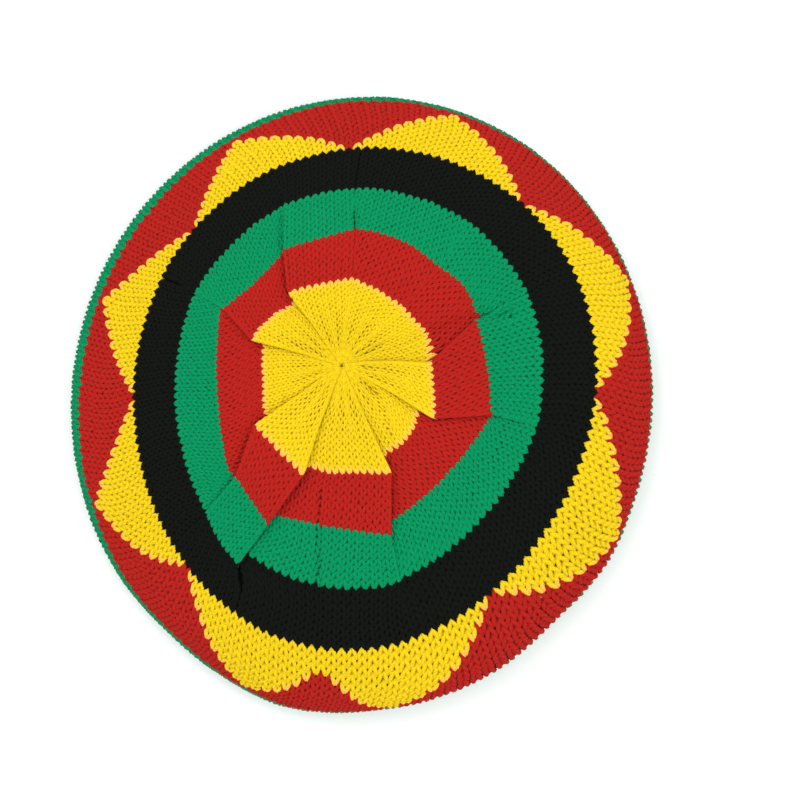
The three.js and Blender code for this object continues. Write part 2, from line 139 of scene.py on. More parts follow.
# Where the zigzag's repeats lie, in degrees clockwise from the far side: each row is one repeat with the wale
# and the direction of its point's tip, and of the red notch after it on the black edge
POINT_TIPS = np.array([
    [7.5, 205.2], [27.5, 251.0], [47.5, 290.6], [67.5, 331.9],
    [87.5, 378.0], [107.5, 425.6], [127.5, 475.9], [147.5, 534.8],
])
NOTCHES = np.array([
    [17.5, 228.0], [37.5, 269.6], [57.5, 311.9], [77.5, 356.5],
    [97.5, 402.1], [117.5, 449.5], [137.5, 505.0], [155.0, 549.9],
])


@dataclass(frozen=True)
class PanelEdge:
    """Where a panel starts and ends on one yarn edge, and how far that edge arches out between, in mm."""

    start: Pair
    end: Pair
    arch: float = 0.0


@dataclass(frozen=True)
class Panel:
    """One flat stretch of the crown between two knife pleats.

    The directions of its pleats are in degrees clockwise from the far side. start_over and end_over say
    whether its edge lies over its neighbour (1), under it (-1) or is only a soft corner (0).
    """

    name: str
    start_degrees: float
    end_degrees: float
    start_over: float
    end_over: float
    yellow: PanelEdge
    red: PanelEdge
    green: PanelEdge | None = None


# In the order of their wales, clockwise from the back seam
PANELS = [
    Panel("near_left", 213, 233, 1, 1,
          PanelEdge((-27.8, -31.2), (-48.6, -10.0)),
          PanelEdge((-43.8, -53.0), (-57.0, -33.0)),
          PanelEdge((-57.2, -71.6), (-71.0, -49.4))),
    Panel("left", 233, 299, -1, -1,
          PanelEdge((-44.6, -2.4), (-45.2, 24.2), 0.4),
          PanelEdge((-60.8, -30.4), (-64.6, 44.0), 1.8)),
    Panel("far_over_left", 299, 337.5, 1, -1,
          PanelEdge((-49.8, 29.8), (-34.2, 43.6), 1.6),
          PanelEdge((-62.4, 43.8), (-37.2, 67.4), -1.6)),
    Panel("far_left", 337.5, 359, 1, 0.2,
          PanelEdge((-33.2, 50.6), (-5.6, 56.6), 0.4),
          PanelEdge((-35.6, 69.8), (-4.4, 78.9))),
    Panel("far", 359, 396, -0.2, 0,
          PanelEdge((-4.8, 56.4), (17.4, 43.6), 1.2),
          PanelEdge((-3.4, 78.9), (34.2, 61.4), 3.2)),
    Panel("far_right", 396, 424, 0, -0.8,
          PanelEdge((17.8, 43.2), (29.0, 31.8)),
          PanelEdge((34.8, 61.0), (50.4, 41.6), 2.4)),
    Panel("right", 424, 461, 0.8, 1,
          PanelEdge((30.4, 17.8), (31.8, -5.4), 0.6),
          PanelEdge((50.4, 37.2), (57.0, -3.6), 1.2)),
    Panel("near_right", 461, 527.5, -1, -1,
          PanelEdge((23.9, -5.4), (12.6, -20.4), 2.6),
          PanelEdge((57.0, -5.0), (12.6, -52.0), 2.4)),
    Panel("near", 527.5, 573, 1, -1,
          PanelEdge((11.6, -30.6), (-15.4, -30.6)),
          PanelEdge((11.2, -58.4), (-37.8, -50.2)),
          PanelEdge((15.6, -80.0), (-50.7, -68.0), 1.0)),
]

# The panels are straight between their pleats up to this course, and follow the round of the ring from the
# second one out. The pleats let go of the ring's plan by the third.
STRAIGHT_UNTIL = 17
ROUND_FROM = 33
PLEATS_OUT_BY = 35
# How far a panel's fabric goes on under its neighbour's edge, and how much a soft corner takes in
TUCKED_MM = 3.0
CORNER_MM = 1.0
# Past this, on the scale of start_over and end_over, an edge lies over or under its neighbour
CLEARLY = 0.3
# A fold whose two edges differ by more than this, on the same scale, is a knife pleat
KNIFE_LEAN = 0.5
# The narrowest that a hidden wale is counted at, in mm, and the fewest wales that a pleat is counted with
HIDDEN_WALE = 2.4
LEAST_SPARE = 0.05

# How deep a knife pleat goes at most, down and under its top edge, and how deep a soft corner goes
KNIFE_DEPTH = 4.0
CORNER_DEPTH = 1.6
# How far the fabric rolls out over an edge that lies on top and over a soft one, and the share that it drops
TOP_ROLL = 1.3
SOFT_ROLL = 0.6
ROLL_DROP = 0.2
# How far fabric that goes under has sunk where it turns down, and the most of it that lies flat till there
KNEE_DROP = 1.6
FLAT_SHARE = 0.85

# Small drawn-in gathers between the pleats, near the gather: where they start, are deepest and have faded out
GATHERS_PER_PANEL = 2
GATHER_DEPTH = 0.3
GATHER_COURSES = (1, 4, 13)

# The steps of the tables by course, the samples across a panel that its width is measured with, and the
# nearest course to the gather that an edge's direction is read from
COURSE_STEP = 0.25
WIDTH_SAMPLES = 13
INNER_COURSE = 0.2
# Those tables are evened out over this many courses each way, coming in between these two
EASED_COURSES = 2
EASED_FROM = (6, 10)
# The shares of a panel between which stitches folded into a pleat take their facing
FACED_SHARES = (0.04, 0.96)

# How far behind the stitches the two faces of the thin sheet lie, in mm
SHEET_UPPER = 0.4
SHEET_LOWER = 1.05

# The names of the map along and around the yarn, and of the tint that yellow stitches take from the red
YARN_MAP = "yarn_lay"
TINT = "by_red"


@dataclass(frozen=True)
class Crease:
    """A soft crease across the crown, from one place in plan to another, in mm."""

    start: Pair
    end: Pair
    depth: float
    width: float


CREASES = [
    Crease((-3.9, 85.9), (-3.9, 80.0), 1.4, 1.6),
    Crease((-36.6, 90.4), (-36.6, 71.8), 1.3, 1.8),
    Crease((53.4, 39.5), (66.1, 40.5), 1.3, 1.8),
    Crease((-19.8, -39.1), (-20.7, -81.4), 0.8, 1.6),
    Crease((28.0, 31.4), (50.7, 39.1), 0.7, 2.0),
    Crease((-2.5, 10.5), (4.3, 6.4), 0.6, 1.6),
    Crease((4.3, 6.4), (8.4, -2.3), 0.6, 1.6),
    Crease((8.4, -2.3), (11.2, -13.0), 0.6, 1.6),
]


def smooth_step(value: Array, start: float, end: float) -> Array:
    """Rises smoothly from 0 at start to 1 at end, as 3s^2 - 2s^3 of the share s of the way."""
    share = np.clip((value - start) / (end - start), 0.0, 1.0)
    return share * share * (3.0 - 2.0 * share)


def unit(vector: Array) -> Array:
    """Gives vectors a length of 1, with the axis of coordinates last."""
    return vector / np.maximum(np.linalg.norm(vector, axis=-1, keepdims=True), 1e-9)


def read_table(table: Array, at: Array) -> Array:
    """Reads a table on a smooth curve through its rows.

    Each column follows a cubic Hermite curve from row to row. Its slope at a row is that of the line between
    the rows before and after.

    Args:
        table: Rows with the place of each row in the first column.
        at: The places to read, in any shape.

    Returns:
        The other columns at those places, as the first axis.
    """
    places = table[:, 0]
    row = np.searchsorted(places[1:-1], at, side="left")
    before = np.maximum(np.arange(len(table)) - 1, 0)
    after = np.minimum(np.arange(len(table)) + 1, len(table) - 1)
    slopes = (table[after, 1:] - table[before, 1:]) / (places[after] - places[before])[:, None]
    span = places[row + 1] - places[row]
    s = np.clip((at - places[row]) / span, 0.0, 1.0)
    low, high = table[row, 1:], table[row + 1, 1:]
    s, span = s[..., None], span[..., None]
    value = ((2 * s**3 - 3 * s**2 + 1) * low + (s**3 - 2 * s**2 + s) * span * slopes[row]
             + (3 * s**2 - 2 * s**3) * high + (s**3 - s**2) * span * slopes[row + 1])
    return np.moveaxis(value, -1, 0)


def read_round(knots: Array, wale: Array) -> Array:
    """Reads a direction from knots of wale and degrees that go once round the tam.

    The direction follows a cubic Hermite curve through the knots, continued by whole turns on both sides.
    """
    turns = np.array([[-WALES, -360.0], [0.0, 0.0], [WALES, 360.0]])
    rows = (knots[None, :, :] + turns[:, None, :]).reshape(-1, 2)
    return read_table(rows, wale)[0]


class Fabric:
    """The tam's one fabric: where any course and wale of it lies, and which way it faces.

    A place is found from rings, the rounds of the fabric by course, and from panels, the flat stretches
    between the pleats. Wales that find no room in a panel at a course are folded down in the pleats beside
    it. In all that follows a panel is its index in PANELS, a course is counted out from the gather, a share
    goes from 0 at a panel's start to 1 at its end, and points are in mm with the axis of coordinates last.
    """

    def __init__(self) -> None:
        """Works out the panels' wales, their shifts off the rings and how many wales show in each."""
        fine = np.linspace(0, WALES, 12 * WALES + 1)
        fine_degrees = read_round(NOTCHES, fine)
        degrees = np.array([[p.start_degrees, p.end_degrees] for p in PANELS], float)
        self.from_degrees, self.to_degrees = degrees[:, 0], degrees[:, 1]
        self.from_wale = np.interp(self.from_degrees, fine_degrees, fine)
        self.to_wale = np.append(self.from_wale[1:], self.from_wale[0] + WALES)
        self.over = np.array([[p.start_over, p.end_over] for p in PANELS], float)
        self.edges = self._edge_shifts()
        self.course_grid = np.arange(0, BLACK_EDGE + COURSE_STEP, COURSE_STEP)
        self.lengths = self._panel_lengths()
        self.shown, self.spare = self._shown_and_spare()
        band_low, band_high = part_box("rib_band")
        self.shift = np.array([(band_low[0] + band_high[0]) / 2, (band_low[1] + band_high[1]) / 2, 0.0]) / MM

    def ring_place(self, course: Array, degrees: Array) -> Array:
        """Finds points of the smooth fabric.

        A point is the ring's centre plus its half sizes times the sine and cosine of the direction. Added to
        both half sizes are a bulge of the sine of twice the direction, a three-cornered one of the sine
        and cosine of three times it, and at the rim the bell curves of RIM_BULGES.

        Args:
            course: Courses, in any shape.
            degrees: Directions clockwise from the far side.

        Returns:
            The points.
        """
        x, y, half_x, half_y, drop, right, far, lean, corner_sin, corner_cos = read_table(RINGS, course)
        angle = np.radians(degrees)
        across, along = np.sin(angle), np.cos(angle)
        bulge = lean * np.sin(2 * angle) + corner_sin * np.sin(3 * angle) + corner_cos * np.cos(3 * angle)
        at_rim = smooth_step(course, *RIM_RISES) * (1 - smooth_step(course, *RIM_FADES))
        for direction, breadth, out in RIM_BULGES:
            off = np.mod(degrees - direction + 180, 360) - 180
            bulge = bulge + at_rim * out * np.exp(-((off / breadth) ** 2))
        return np.stack([
            x + (half_x + bulge) * across,
            y + (half_y + bulge) * along,
            CROWN_HEIGHT - drop + right * across + far * along,
        ], axis=-1)

    def _edge_shifts(self) -> dict[str, Array]:
        """Works out how far each panel's corners stand off the ring in plan, at each yarn edge.

        Returns:
            The start, end and arch vectors in plan, by the edge's yarn and then by panel.
        """
        shifts = {}
        for name, course in (("yellow", YELLOW_EDGE), ("red", RED_EDGE), ("green", GREEN_EDGE)):
            rows = np.zeros((len(PANELS), 3, 2))
            for index, panel in enumerate(PANELS):
                edge: PanelEdge | None = getattr(panel, name)
                if edge is None:
                    continue
                start, end = np.array(edge.start), np.array(edge.end)
                round_start = self.ring_place(np.array(course), np.array(panel.start_degrees))[:2]
                round_end = self.ring_place(np.array(course), np.array(panel.end_degrees))[:2]
                out = np.array([start[1] - end[1], end[0] - start[0]])
                rows[index] = start - round_start, end - round_end, edge.arch * out / np.linalg.norm(out)
            shifts[name] = rows
        return shifts

    def _panel_shift(self, panel: Array, course: Array, share: Array) -> Array:
        """Finds how far places in panels stand off the ring in plan, fading in and out between yarn edges."""
        ramps = {
            "yellow": np.interp(course, [0, YELLOW_EDGE, RED_EDGE], [0, 1, 0]),
            "red": np.interp(course, [YELLOW_EDGE, RED_EDGE, GREEN_EDGE], [0, 1, 0]),
            "green": np.where(course < GREEN_EDGE, np.interp(course, [RED_EDGE, GREEN_EDGE], [0, 1]),
                              1 - smooth_step(course, GREEN_EDGE, PLEATS_OUT_BY)),
        }
        shift = np.zeros(np.shape(course) + (2,))
        for name, ramp in ramps.items():
            rows = self.edges[name][panel]
            s = share[..., None]
            shift += ramp[..., None] * (rows[..., 0, :] * (1 - s) + rows[..., 1, :] * s
                                        + rows[..., 2, :] * 4 * s * (1 - s))
        return shift

    def _panel_relief(self, panel: Array, course: Array, share: Array) -> Array:
        """Finds the height that pleats, puffed panels and small gathers add at places in panels."""
        step, puff = read_table(PLEAT_RELIEF, np.minimum(course, PLEATS_OUT_BY))
        edges = self.over[panel, 0] * (1 - share) ** 4 + self.over[panel, 1] * share**4
        start, deepest, end = GATHER_COURSES
        gathers = (np.cos(2 * math.pi * GATHERS_PER_PANEL * share) * smooth_step(course, start, deepest)
                   * (1 - smooth_step(course, deepest, end)))
        return step * edges + puff * 4 * share * (1 - share) + GATHER_DEPTH * gathers

    def panel_place(self, panel: Array, course: Array, share: Array) -> Array:
        """Finds points on the shown part of panels.

        Each is between the straight line from pleat to pleat and the round of the ring, by its course.
        """
        start_degrees, end_degrees = self.from_degrees[panel], self.to_degrees[panel]
        start = self.ring_place(course, start_degrees)
        end = self.ring_place(course, end_degrees)
        around = self.ring_place(course, start_degrees + (end_degrees - start_degrees) * share)
        straight = start + (end - start) * share[..., None]
        point = straight + (around - straight) * smooth_step(course, STRAIGHT_UNTIL, ROUND_FROM)[..., None]
        point[..., :2] += self._panel_shift(panel, course, share)
        point[..., 2] = around[..., 2] + self._panel_relief(panel, course, share)
        return point

    def _panel_lengths(self) -> Array:
        """Measures each panel's shown width along each course of the course grid, in mm."""
        shares = np.linspace(0, 1, WIDTH_SAMPLES)
        panel, course, share = np.meshgrid(np.arange(len(PANELS)), self.course_grid, shares, indexing="ij")
        points = self.panel_place(panel, course, share)
        return np.linalg.norm(np.diff(points, axis=2), axis=-1).sum(axis=2)

    def under_reach(self, panel: Array, course: Array, at_end: Array) -> Array:
        """Finds the way in plan from a panel's edge to the edge of its neighbour, square to that edge.

        Args:
            panel: Panels.
            course: Courses.
            at_end: True at the panel's end, False at its start.

        Returns:
            Vectors in plan, in mm.
        """
        other = (panel + np.where(at_end, 1, -1)) % len(PANELS)
        own = self.panel_place(panel, course, np.where(at_end, 1.0, 0.0))
        facing_share = np.where(at_end, 0.0, 1.0)
        edge = self.panel_place(other, course, facing_share)
        nearer = self.panel_place(other, np.maximum(course - 1, INNER_COURSE), facing_share)
        line = unit((edge - nearer)[..., :2])
        way = (edge - own)[..., :2]
        return way - (way * line).sum(-1, keepdims=True) * line

    def _shown_and_spare(self) -> tuple[Array, Array]:
        """Works out how many of each panel's wales show, and shares out the rest between its two pleats.

        No more wales show than have room. A panel that goes under its neighbour keeps enough wales to reach
        it and TUCKED_MM more. What is left is shared by what each pleat takes in.

        Returns:
            The shown wales by panel and course grid, and the spare wales by end (0 start, 1 end), panel and
            course grid.
        """
        wales = (self.to_wale - self.from_wale)[:, None]
        narrowest = read_table(NARROWEST_WALE, self.course_grid)[0]
        panel, course = np.meshgrid(np.arange(len(PANELS)), self.course_grid, indexing="ij")
        pleated = 1 - smooth_step(course, GREEN_EDGE, PLEATS_OUT_BY)
        takes, needs = [], []
        for end in (0, 1):
            over = self.over[:, end][:, None]
            reach = np.linalg.norm(self.under_reach(panel, course, np.full(panel.shape, bool(end))), axis=-1)
            own = np.where(over > CLEARLY, TUCKED_MM, CORNER_MM)
            takes.append(np.where(over < -CLEARLY, reach + TUCKED_MM, own))
            needs.append(takes[-1] * pleated * (np.abs(over) > CLEARLY) / np.maximum(narrowest, HIDDEN_WALE))
        shown = np.minimum(wales - np.minimum(needs[0] + needs[1], wales / 2), self.lengths / narrowest)
        shown = self._eased(shown)
        first_part = self._eased(takes[0] / (takes[0] + takes[1]))
        spare = wales - shown
        return shown, np.stack([spare * first_part, spare * (1 - first_part)])

    def _eased(self, table: Array) -> Array:
        """Evens out a table of panels by course grid along its courses, past the gathered middle."""
        reach = int(EASED_COURSES / COURSE_STEP)
        padded = np.pad(table, ((0, 0), (reach, reach)), mode="edge")
        weights = np.hanning(2 * reach + 3)[1:-1]
        even = sum(weight * padded[:, index:index + table.shape[1]] for index, weight in enumerate(weights))
        return table + (even / weights.sum() - table) * smooth_step(self.course_grid, *EASED_FROM)

    def by_course(self, table: Array, panel: Array, course: Array) -> Array:
        """Reads a table of panels by course grid, straight between its courses."""
        place = np.clip(course / COURSE_STEP, 0, len(self.course_grid) - 1.001)
        low = place.astype(int)
        part = place - low
        return table[panel, low] * (1 - part) + table[panel, low + 1] * part

    def spare_at(self, panel: Array, course: Array, at_end: Array) -> Array:
        """Reads how many wales of panels are folded away at their end, or else at their start."""
        start, end = (self.by_course(table, panel, course) for table in self.spare)
        return np.where(at_end, end, start)

    def wale_width(self, panel: Array, course: Array) -> Array:
        """Finds how wide the shown wales of panels are at courses, in mm."""
        return self.by_course(self.lengths, panel, course) / self.by_course(self.shown, panel, course)

    def share_across(self, panel: Array, course: Array, wale: Array) -> Array:
        """Finds how far across its panel a wale lies. Below 0 and above 1 it is folded into a pleat.

        The shown wales are even across the panel. Out towards the black edge they take on the stretch that
        the zigzag has.
        """
        shown = self.by_course(self.shown, panel, course)
        even = (wale - self.from_wale[panel] - self.by_course(self.spare[0], panel, course)) / shown
        stretched = ((read_round(NOTCHES, wale) - self.from_degrees[panel])
                     / (self.to_degrees[panel] - self.from_degrees[panel]))
        return even + (stretched - even) * smooth_step(course, GREEN_EDGE - 2, BLACK_EDGE - 1)

    def pleat_bottom(self, panel: Array, course: Array) -> Array:
        """Finds the bottom of the pleat at the start of panels.

        It lies under the panel that is on top, lower and further under the more wales the pleat takes in.
        """
        before = (panel - 1) % len(PANELS)
        nought, one = np.zeros_like(course), np.ones_like(course)
        own = self.panel_place(panel, course, nought)
        other = self.panel_place(before, course, one)
        across = unit((self.panel_place(panel, course, one) - own
                       + other - self.panel_place(before, course, nought))[..., :2])
        lean = self.over[panel, 0] - self.over[before, 1]
        top = np.where((lean > 0)[..., None], own, other)
        folded = self.spare_at(panel, course, False) + self.spare_at(before, course, True)
        third = folded * self.wale_width(panel, course) / 3
        is_knife = np.abs(lean) > KNIFE_LEAN
        bottom = np.where(is_knife[..., None], top, (own + other) / 2)
        bottom[..., :2] += (np.sign(lean) * is_knife * np.minimum(third, KNIFE_DEPTH))[..., None] * across
        bottom[..., 2] -= np.minimum(third, np.where(is_knife, KNIFE_DEPTH, CORNER_DEPTH))
        return bottom

    def folded_place(self, panel: Array, course: Array, share: Array,
                     folded: Array) -> Array:
        """Finds points on panels, where they show and where they are folded into a pleat.

        Where a panel lies on top, its folded part follows a quadratic Bezier curve that rolls over its edge
        and goes back under it to the pleat's bottom. Where it lies under its neighbour it carries on nearly
        flat, at the width that its wales have, until it is well under the neighbour's edge. From there it
        turns down to the pleat's bottom.

        Args:
            panel: Panels.
            course: Courses.
            share: Shares across the shown part.
            folded: 0 where the fabric shows, down to -1 at the bottom of the pleat at the panel's start and
                up to 1 at that of its end.

        Returns:
            The points.
        """
        point = self.panel_place(panel, course, share)
        hidden = np.abs(folded) > 1e-6
        if not hidden.any():
            return point
        p, c, q = panel[hidden], course[hidden], folded[hidden]
        at_end = q > 0
        q = np.abs(q)
        edge = point[hidden]
        bottom = self.pleat_bottom(np.where(at_end, (p + 1) % len(PANELS), p), c)
        across = (self.panel_place(p, c, np.ones_like(c)) - self.panel_place(p, c, np.zeros_like(c)))[:, :2]
        across *= (np.where(at_end, 1.0, -1.0) / np.linalg.norm(across, axis=-1))[:, None]
        over = np.where(at_end, self.over[p, 1], self.over[p, 0])
        fabric = np.maximum(self.spare_at(p, c, at_end) * self.wale_width(p, c), 1e-3)
        roll = np.minimum(np.where(over > CLEARLY, TOP_ROLL, SOFT_ROLL), fabric / 3)
        turn = edge.copy()
        turn[:, :2] += across * roll[:, None]
        turn[:, 2] -= ROLL_DROP * roll
        s = q[:, None]
        over_edge = (1 - s) ** 2 * edge + 2 * s * (1 - s) * turn + s**2 * bottom
        way = self.under_reach(p, c, at_end)
        forward = (way * across).sum(-1)
        way = np.where((forward > 0)[:, None], way, 0.0) + across * TUCKED_MM
        length = np.linalg.norm(way, axis=-1)
        length_used = np.minimum(length, FLAT_SHARE * fabric)
        way *= (length_used / length)[:, None]
        knee = edge.copy()
        knee[:, :2] += way
        knee[:, 2] -= np.minimum(KNEE_DROP, fabric / 3)
        bend_at = np.minimum(length_used / fabric, FLAT_SHARE)
        first = np.clip(q / bend_at, 0, 1)[:, None]
        second = np.clip((q - bend_at) / (1 - bend_at), 0, 1)[:, None]
        under_edge = edge + (knee - edge) * first + (bottom - knee) * second
        point[hidden] = np.where((over < -CLEARLY)[:, None], under_edge, over_edge)
        return point

    def crease_dip(self, point: Array, course: Array) -> Array:
        """Finds how far the soft creases sink the fabric at points of the crown, in mm.

        A crease sinks by its depth times the bell curve of the distance from its line over its width.
        """
        dip = np.zeros(point.shape[:-1])
        for crease in CREASES:
            start, end = np.array(crease.start), np.array(crease.end)
            line = end - start
            share = np.clip(((point[..., :2] - start) @ line) / (line @ line), 0, 1)
            off = np.linalg.norm(point[..., :2] - start - share[..., None] * line, axis=-1)
            dip += crease.depth * np.exp(-((off / crease.width) ** 2))
        return np.where(course < POINTS_EDGE, dip, 0.0)

    def place(self, panel: Array, course: Array, wale: Array) -> Array:
        """Finds points of the fabric by panel, course and wale, in mm.

        Out to the black edge a point lies in its panel. Past it the wales go from the directions of the
        notches to those of the tips, and stay there.
        """
        inside = course < BLACK_EDGE
        share = self.share_across(panel, course, wale)
        spare = self.spare_at(panel, course, share >= 0)
        beyond = (share - np.clip(share, 0, 1)) * self.by_course(self.shown, panel, course)
        folded = np.clip(beyond / np.maximum(spare, LEAST_SPARE), -1, 1)
        in_crown = self.folded_place(panel, np.minimum(course, BLACK_EDGE), np.clip(share, 0, 1), folded)
        past = smooth_step(course, BLACK_EDGE, BLACK_EDGE + REPEAT_WALES / 2)
        degrees = read_round(NOTCHES, wale) * (1 - past) + read_round(POINT_TIPS, wale) * past
        point = np.where(inside[..., None], in_crown, self.ring_place(course, degrees))
        point[..., 2] -= self.crease_dip(point, course)
        return point + self.shift

    def faced_wale(self, panel: Array, course: Array, wale: Array) -> Array:
        """Finds the wale whose facing a place takes: its own, or in a pleat the nearest that shows."""
        share = self.share_across(panel, course, wale)
        return wale + (np.clip(share, *FACED_SHARES) - share) * self.by_course(self.shown, panel, course)


def facing(place: Callable[[Array, Array], Array], course: Array, wale: Array,
           step: float = 0.12) -> Array:
    """Finds the unit directions out of a surface from its slopes along the wales and the courses.

    Args:
        place: Gives points in mm by course and wale.
        course: Courses to read at.
        wale: Wales to read at.
        step: How far apart the two places of a slope are, on each side.

    Returns:
        Unit vectors, with the axis of coordinates last.
    """
    along = place(course + step, wale) - place(np.maximum(course - step, 0), wale)
    around = place(course, wale + step) - place(course, wale - step)
    return unit(np.cross(around, along))


@dataclass(frozen=True)
class Stitch:
    """The path of the yarn in one stitch of plain knitting, in wales, courses and mm.

    With the phase p from -180 degrees at one sinker loop through 0 at the head to 180 at the next, the yarn
    lies at wale w + p / 360 + sway * sin(2p), at course c - reach * cos(p), and raise * cos(2p) behind the
    middle of the fabric. Its legs come forward and lean together away from the gather. Thin yarn is raised
    less: by thin_raise of raise, and the rest in proportion to its thickness. The head is drawn further
    back, by head_drop times the fourth power of cos(p). The yarn is pressed flat, so flatness is its
    thickness over its width.
    """

    sway: float = 0.28
    reach: float = 0.84
    raise_mm: float = 0.55
    thin_raise: float = 0.6
    head_drop: float = 1.2
    thin_mm: float = 0.58
    thick_mm: float = 1.38
    share_of_wale: float = 0.295
    flatness: float = 0.72
    lies_below: float = 1.45


@dataclass
class Run:
    """A length of one yarn through neighbouring stitches of one course."""

    panel: int
    course: int
    first: int
    count: int
    closed: bool = False
    tinted: Array | None = None


@dataclass
class YarnMesh:
    """Points, quads and end faces of yarn tubes, with their map of mm along and share around."""

    points: list[Array] = field(default_factory=list)
    quads: list[Array] = field(default_factory=list)
    quad_maps: list[Array] = field(default_factory=list)
    caps: list[Array] = field(default_factory=list)
    tints: list[Array] = field(default_factory=list)
    total: int = 0


class Knitter:
    """Lays yarn through the stitches of a surface and makes tubes of it."""

    # How far an uneven hand changes the yarn's thickness, as a share of it, and its wale, course and height
    UNEVEN = (0.05, 0.035, 0.05, 0.09)
    # The table of that unevenness: rows of courses, columns of stitches, and the four numbers
    SEED = 23
    TENSION_SHAPE = (BAND_EDGE + 12, WALES * 2 + 8, len(UNEVEN))
    # The nearest course to the gather that yarn reaches
    NEAREST_COURSE = 0.02
    # The corners of a tube's quad: 1 at the next section, and 1 at the next side
    CORNERS = ((0, 0), (1, 0), (1, 1), (0, 1))
    # A section is tinted by the first, less the second times the cosine of its phase
    TINT_CURVE = (0.2, 1.4)

    def __init__(self, place: Reader, width: Reader, stitch: Stitch, samples: int, sides: int,
                 purl: Callable[[Array], Array] | None = None, faced: Reader | None = None) -> None:
        """Keeps the surface and the stitch.

        Args:
            place: Gives points in mm by panel, course and wale.
            width: Gives the width of a wale in mm by panel, course and wale.
            stitch: The path of the yarn in a stitch.
            samples: Sections in one stitch.
            sides: Sides of the tube.
            purl: Gives 1 where a wale is knit and -1 where it is purl.
            faced: Gives the wale whose facing a place takes, by panel, course and wale.
        """
        self.place, self.width, self.stitch = place, width, stitch
        self.samples, self.sides = samples, sides
        self.purl = purl or (lambda wale: 1.0)
        self.faced = faced or (lambda panel, course, wale: wale)
        self.tension = np.random.default_rng(self.SEED).normal(0, 1, self.TENSION_SHAPE)
        self.mesh = YarnMesh()

    def _uneven(self, course: Array, turn: Array, first: Array) -> Array:
        """Reads how uneven the hand was at places along a run, in the order of UNEVEN as the first axis."""
        place = first + turn - 0.5
        low = np.floor(place).astype(int)
        part = (place - low)[:, None]
        row = course.astype(int) % self.tension.shape[0]
        column = (low + WALES) % (WALES * 2)
        tension = self.tension[row, column] * (1 - part) + self.tension[row, column + 1] * part
        return (tension * self.UNEVEN).T

    def _path(self, panel: Array, course: Array, first: Array, turn: Array) -> tuple[Array, Array, Array]:
        """Follows the yarn through its stitches.

        Args:
            panel: The panel of each section of yarn.
            course: Its course.
            first: The first wale of its run.
            turn: How many stitches it is on from there.

        Returns:
            The middle of each section in mm, the way that the fabric faces there and the yarn's radius.
        """
        stitch = self.stitch
        phase = 2 * math.pi * turn - math.pi
        thicker, sideways, outwards, upwards = self._uneven(course, turn, first)
        wide = self.width(panel, course + 0.5, first + turn)
        radius = np.clip(stitch.share_of_wale * wide, stitch.thin_mm, stitch.thick_mm) * (1 + thicker)
        wale = first + turn + stitch.sway * np.sin(2 * phase) + sideways
        course = np.maximum(course + 0.5 - stitch.reach * np.cos(phase) + outwards, self.NEAREST_COURSE)
        thickness = radius / stitch.thick_mm
        behind = stitch.raise_mm * (stitch.thin_raise + (1 - stitch.thin_raise) * thickness)
        height = -behind * np.cos(2 * phase) - stitch.head_drop * np.maximum(np.cos(phase), 0) ** 4
        height = height * self.purl(wale) + upwards - stitch.lies_below
        face = facing(lambda c, w: self.place(panel, c, w), course, self.faced(panel, course, wale))
        return self.place(panel, course, wale) + face * height[:, None], face, radius

    def knit(self, runs: list[Run]) -> None:
        """Makes the tubes of runs of yarn and adds them to the mesh."""
        panel, course, first, count, closed = np.array(
            [(run.panel, run.course, run.first, run.count, run.closed) for run in runs]).T
        loops = closed == 1
        numbers = count * self.samples + 1 - closed
        starts = np.cumsum(numbers) - numbers
        ends = starts + numbers - 1
        of_run = np.repeat(np.arange(len(runs)), numbers)
        index = np.arange(len(of_run))
        turn = (index - starts[of_run]) / self.samples
        centre, face, radius = self._path(panel[of_run], course[of_run].astype(float),
                                          first[of_run].astype(float), turn)
        after, before = index + 1, index - 1
        after[ends] = np.where(loops, starts, ends)
        before[starts] = np.where(loops, ends, starts)
        along = unit(centre[after] - centre[before])
        side = unit(np.cross(along, face))
        up = np.cross(side, along) * self.stitch.flatness
        k = np.arange(self.sides)
        angle = (2 * math.pi * k / self.sides)[:, None]
        ring = (side[:, None] * np.cos(angle) + up[:, None] * np.sin(angle)) * radius[:, None, None]
        goes_on = np.ones(len(index), bool)
        goes_on[ends[~loops]] = False
        here, there = index[goes_on], after[goes_on]
        step = np.linalg.norm(centre[after] - centre, axis=1)
        length = np.concatenate([[0.0], np.cumsum(step)[:-1]])
        quads = np.empty((len(here), self.sides, 4), int)
        maps = np.empty((len(here), self.sides, 4, 2))
        for corner, (is_next, is_round) in enumerate(self.CORNERS):
            section = there if is_next else here
            quads[:, :, corner] = section[:, None] * self.sides + (k + is_round) % self.sides
            maps[:, :, corner, 0] = (length + is_next * step)[here][:, None]
            maps[:, :, corner, 1] = (k + is_round) / self.sides
        caps = np.stack([starts[~loops][:, None] * self.sides + k,
                         ends[~loops][:, None] * self.sides + k[::-1]], axis=1)
        mesh = self.mesh
        mesh.points.append((centre[:, None] + ring).reshape(-1, 3))
        mesh.quads.append(quads.reshape(-1, 4) + mesh.total)
        mesh.quad_maps.append(maps.reshape(-1, 2))
        mesh.caps.append(caps.reshape(-1, self.sides) + mesh.total)
        mesh.tints.append(np.repeat(self._tints(runs, count, of_run, turn), self.sides))
        mesh.total += len(mesh.points[-1])

    @staticmethod
    def _tints(runs: list[Run], count: Array, of_run: Array, turn: Array) -> Array:
        """Works out the tint of each section: that of its stitch, in the part on the course below."""
        tinted = np.concatenate([np.zeros(run.count) if run.tinted is None else run.tinted for run in runs])
        stitch = (np.cumsum(count) - count)[of_run] + np.minimum(turn.astype(int), count[of_run] - 1)
        least, swing = Knitter.TINT_CURVE
        return tinted[stitch] * np.clip(least - swing * np.cos(2 * math.pi * turn - math.pi), 0, 1)


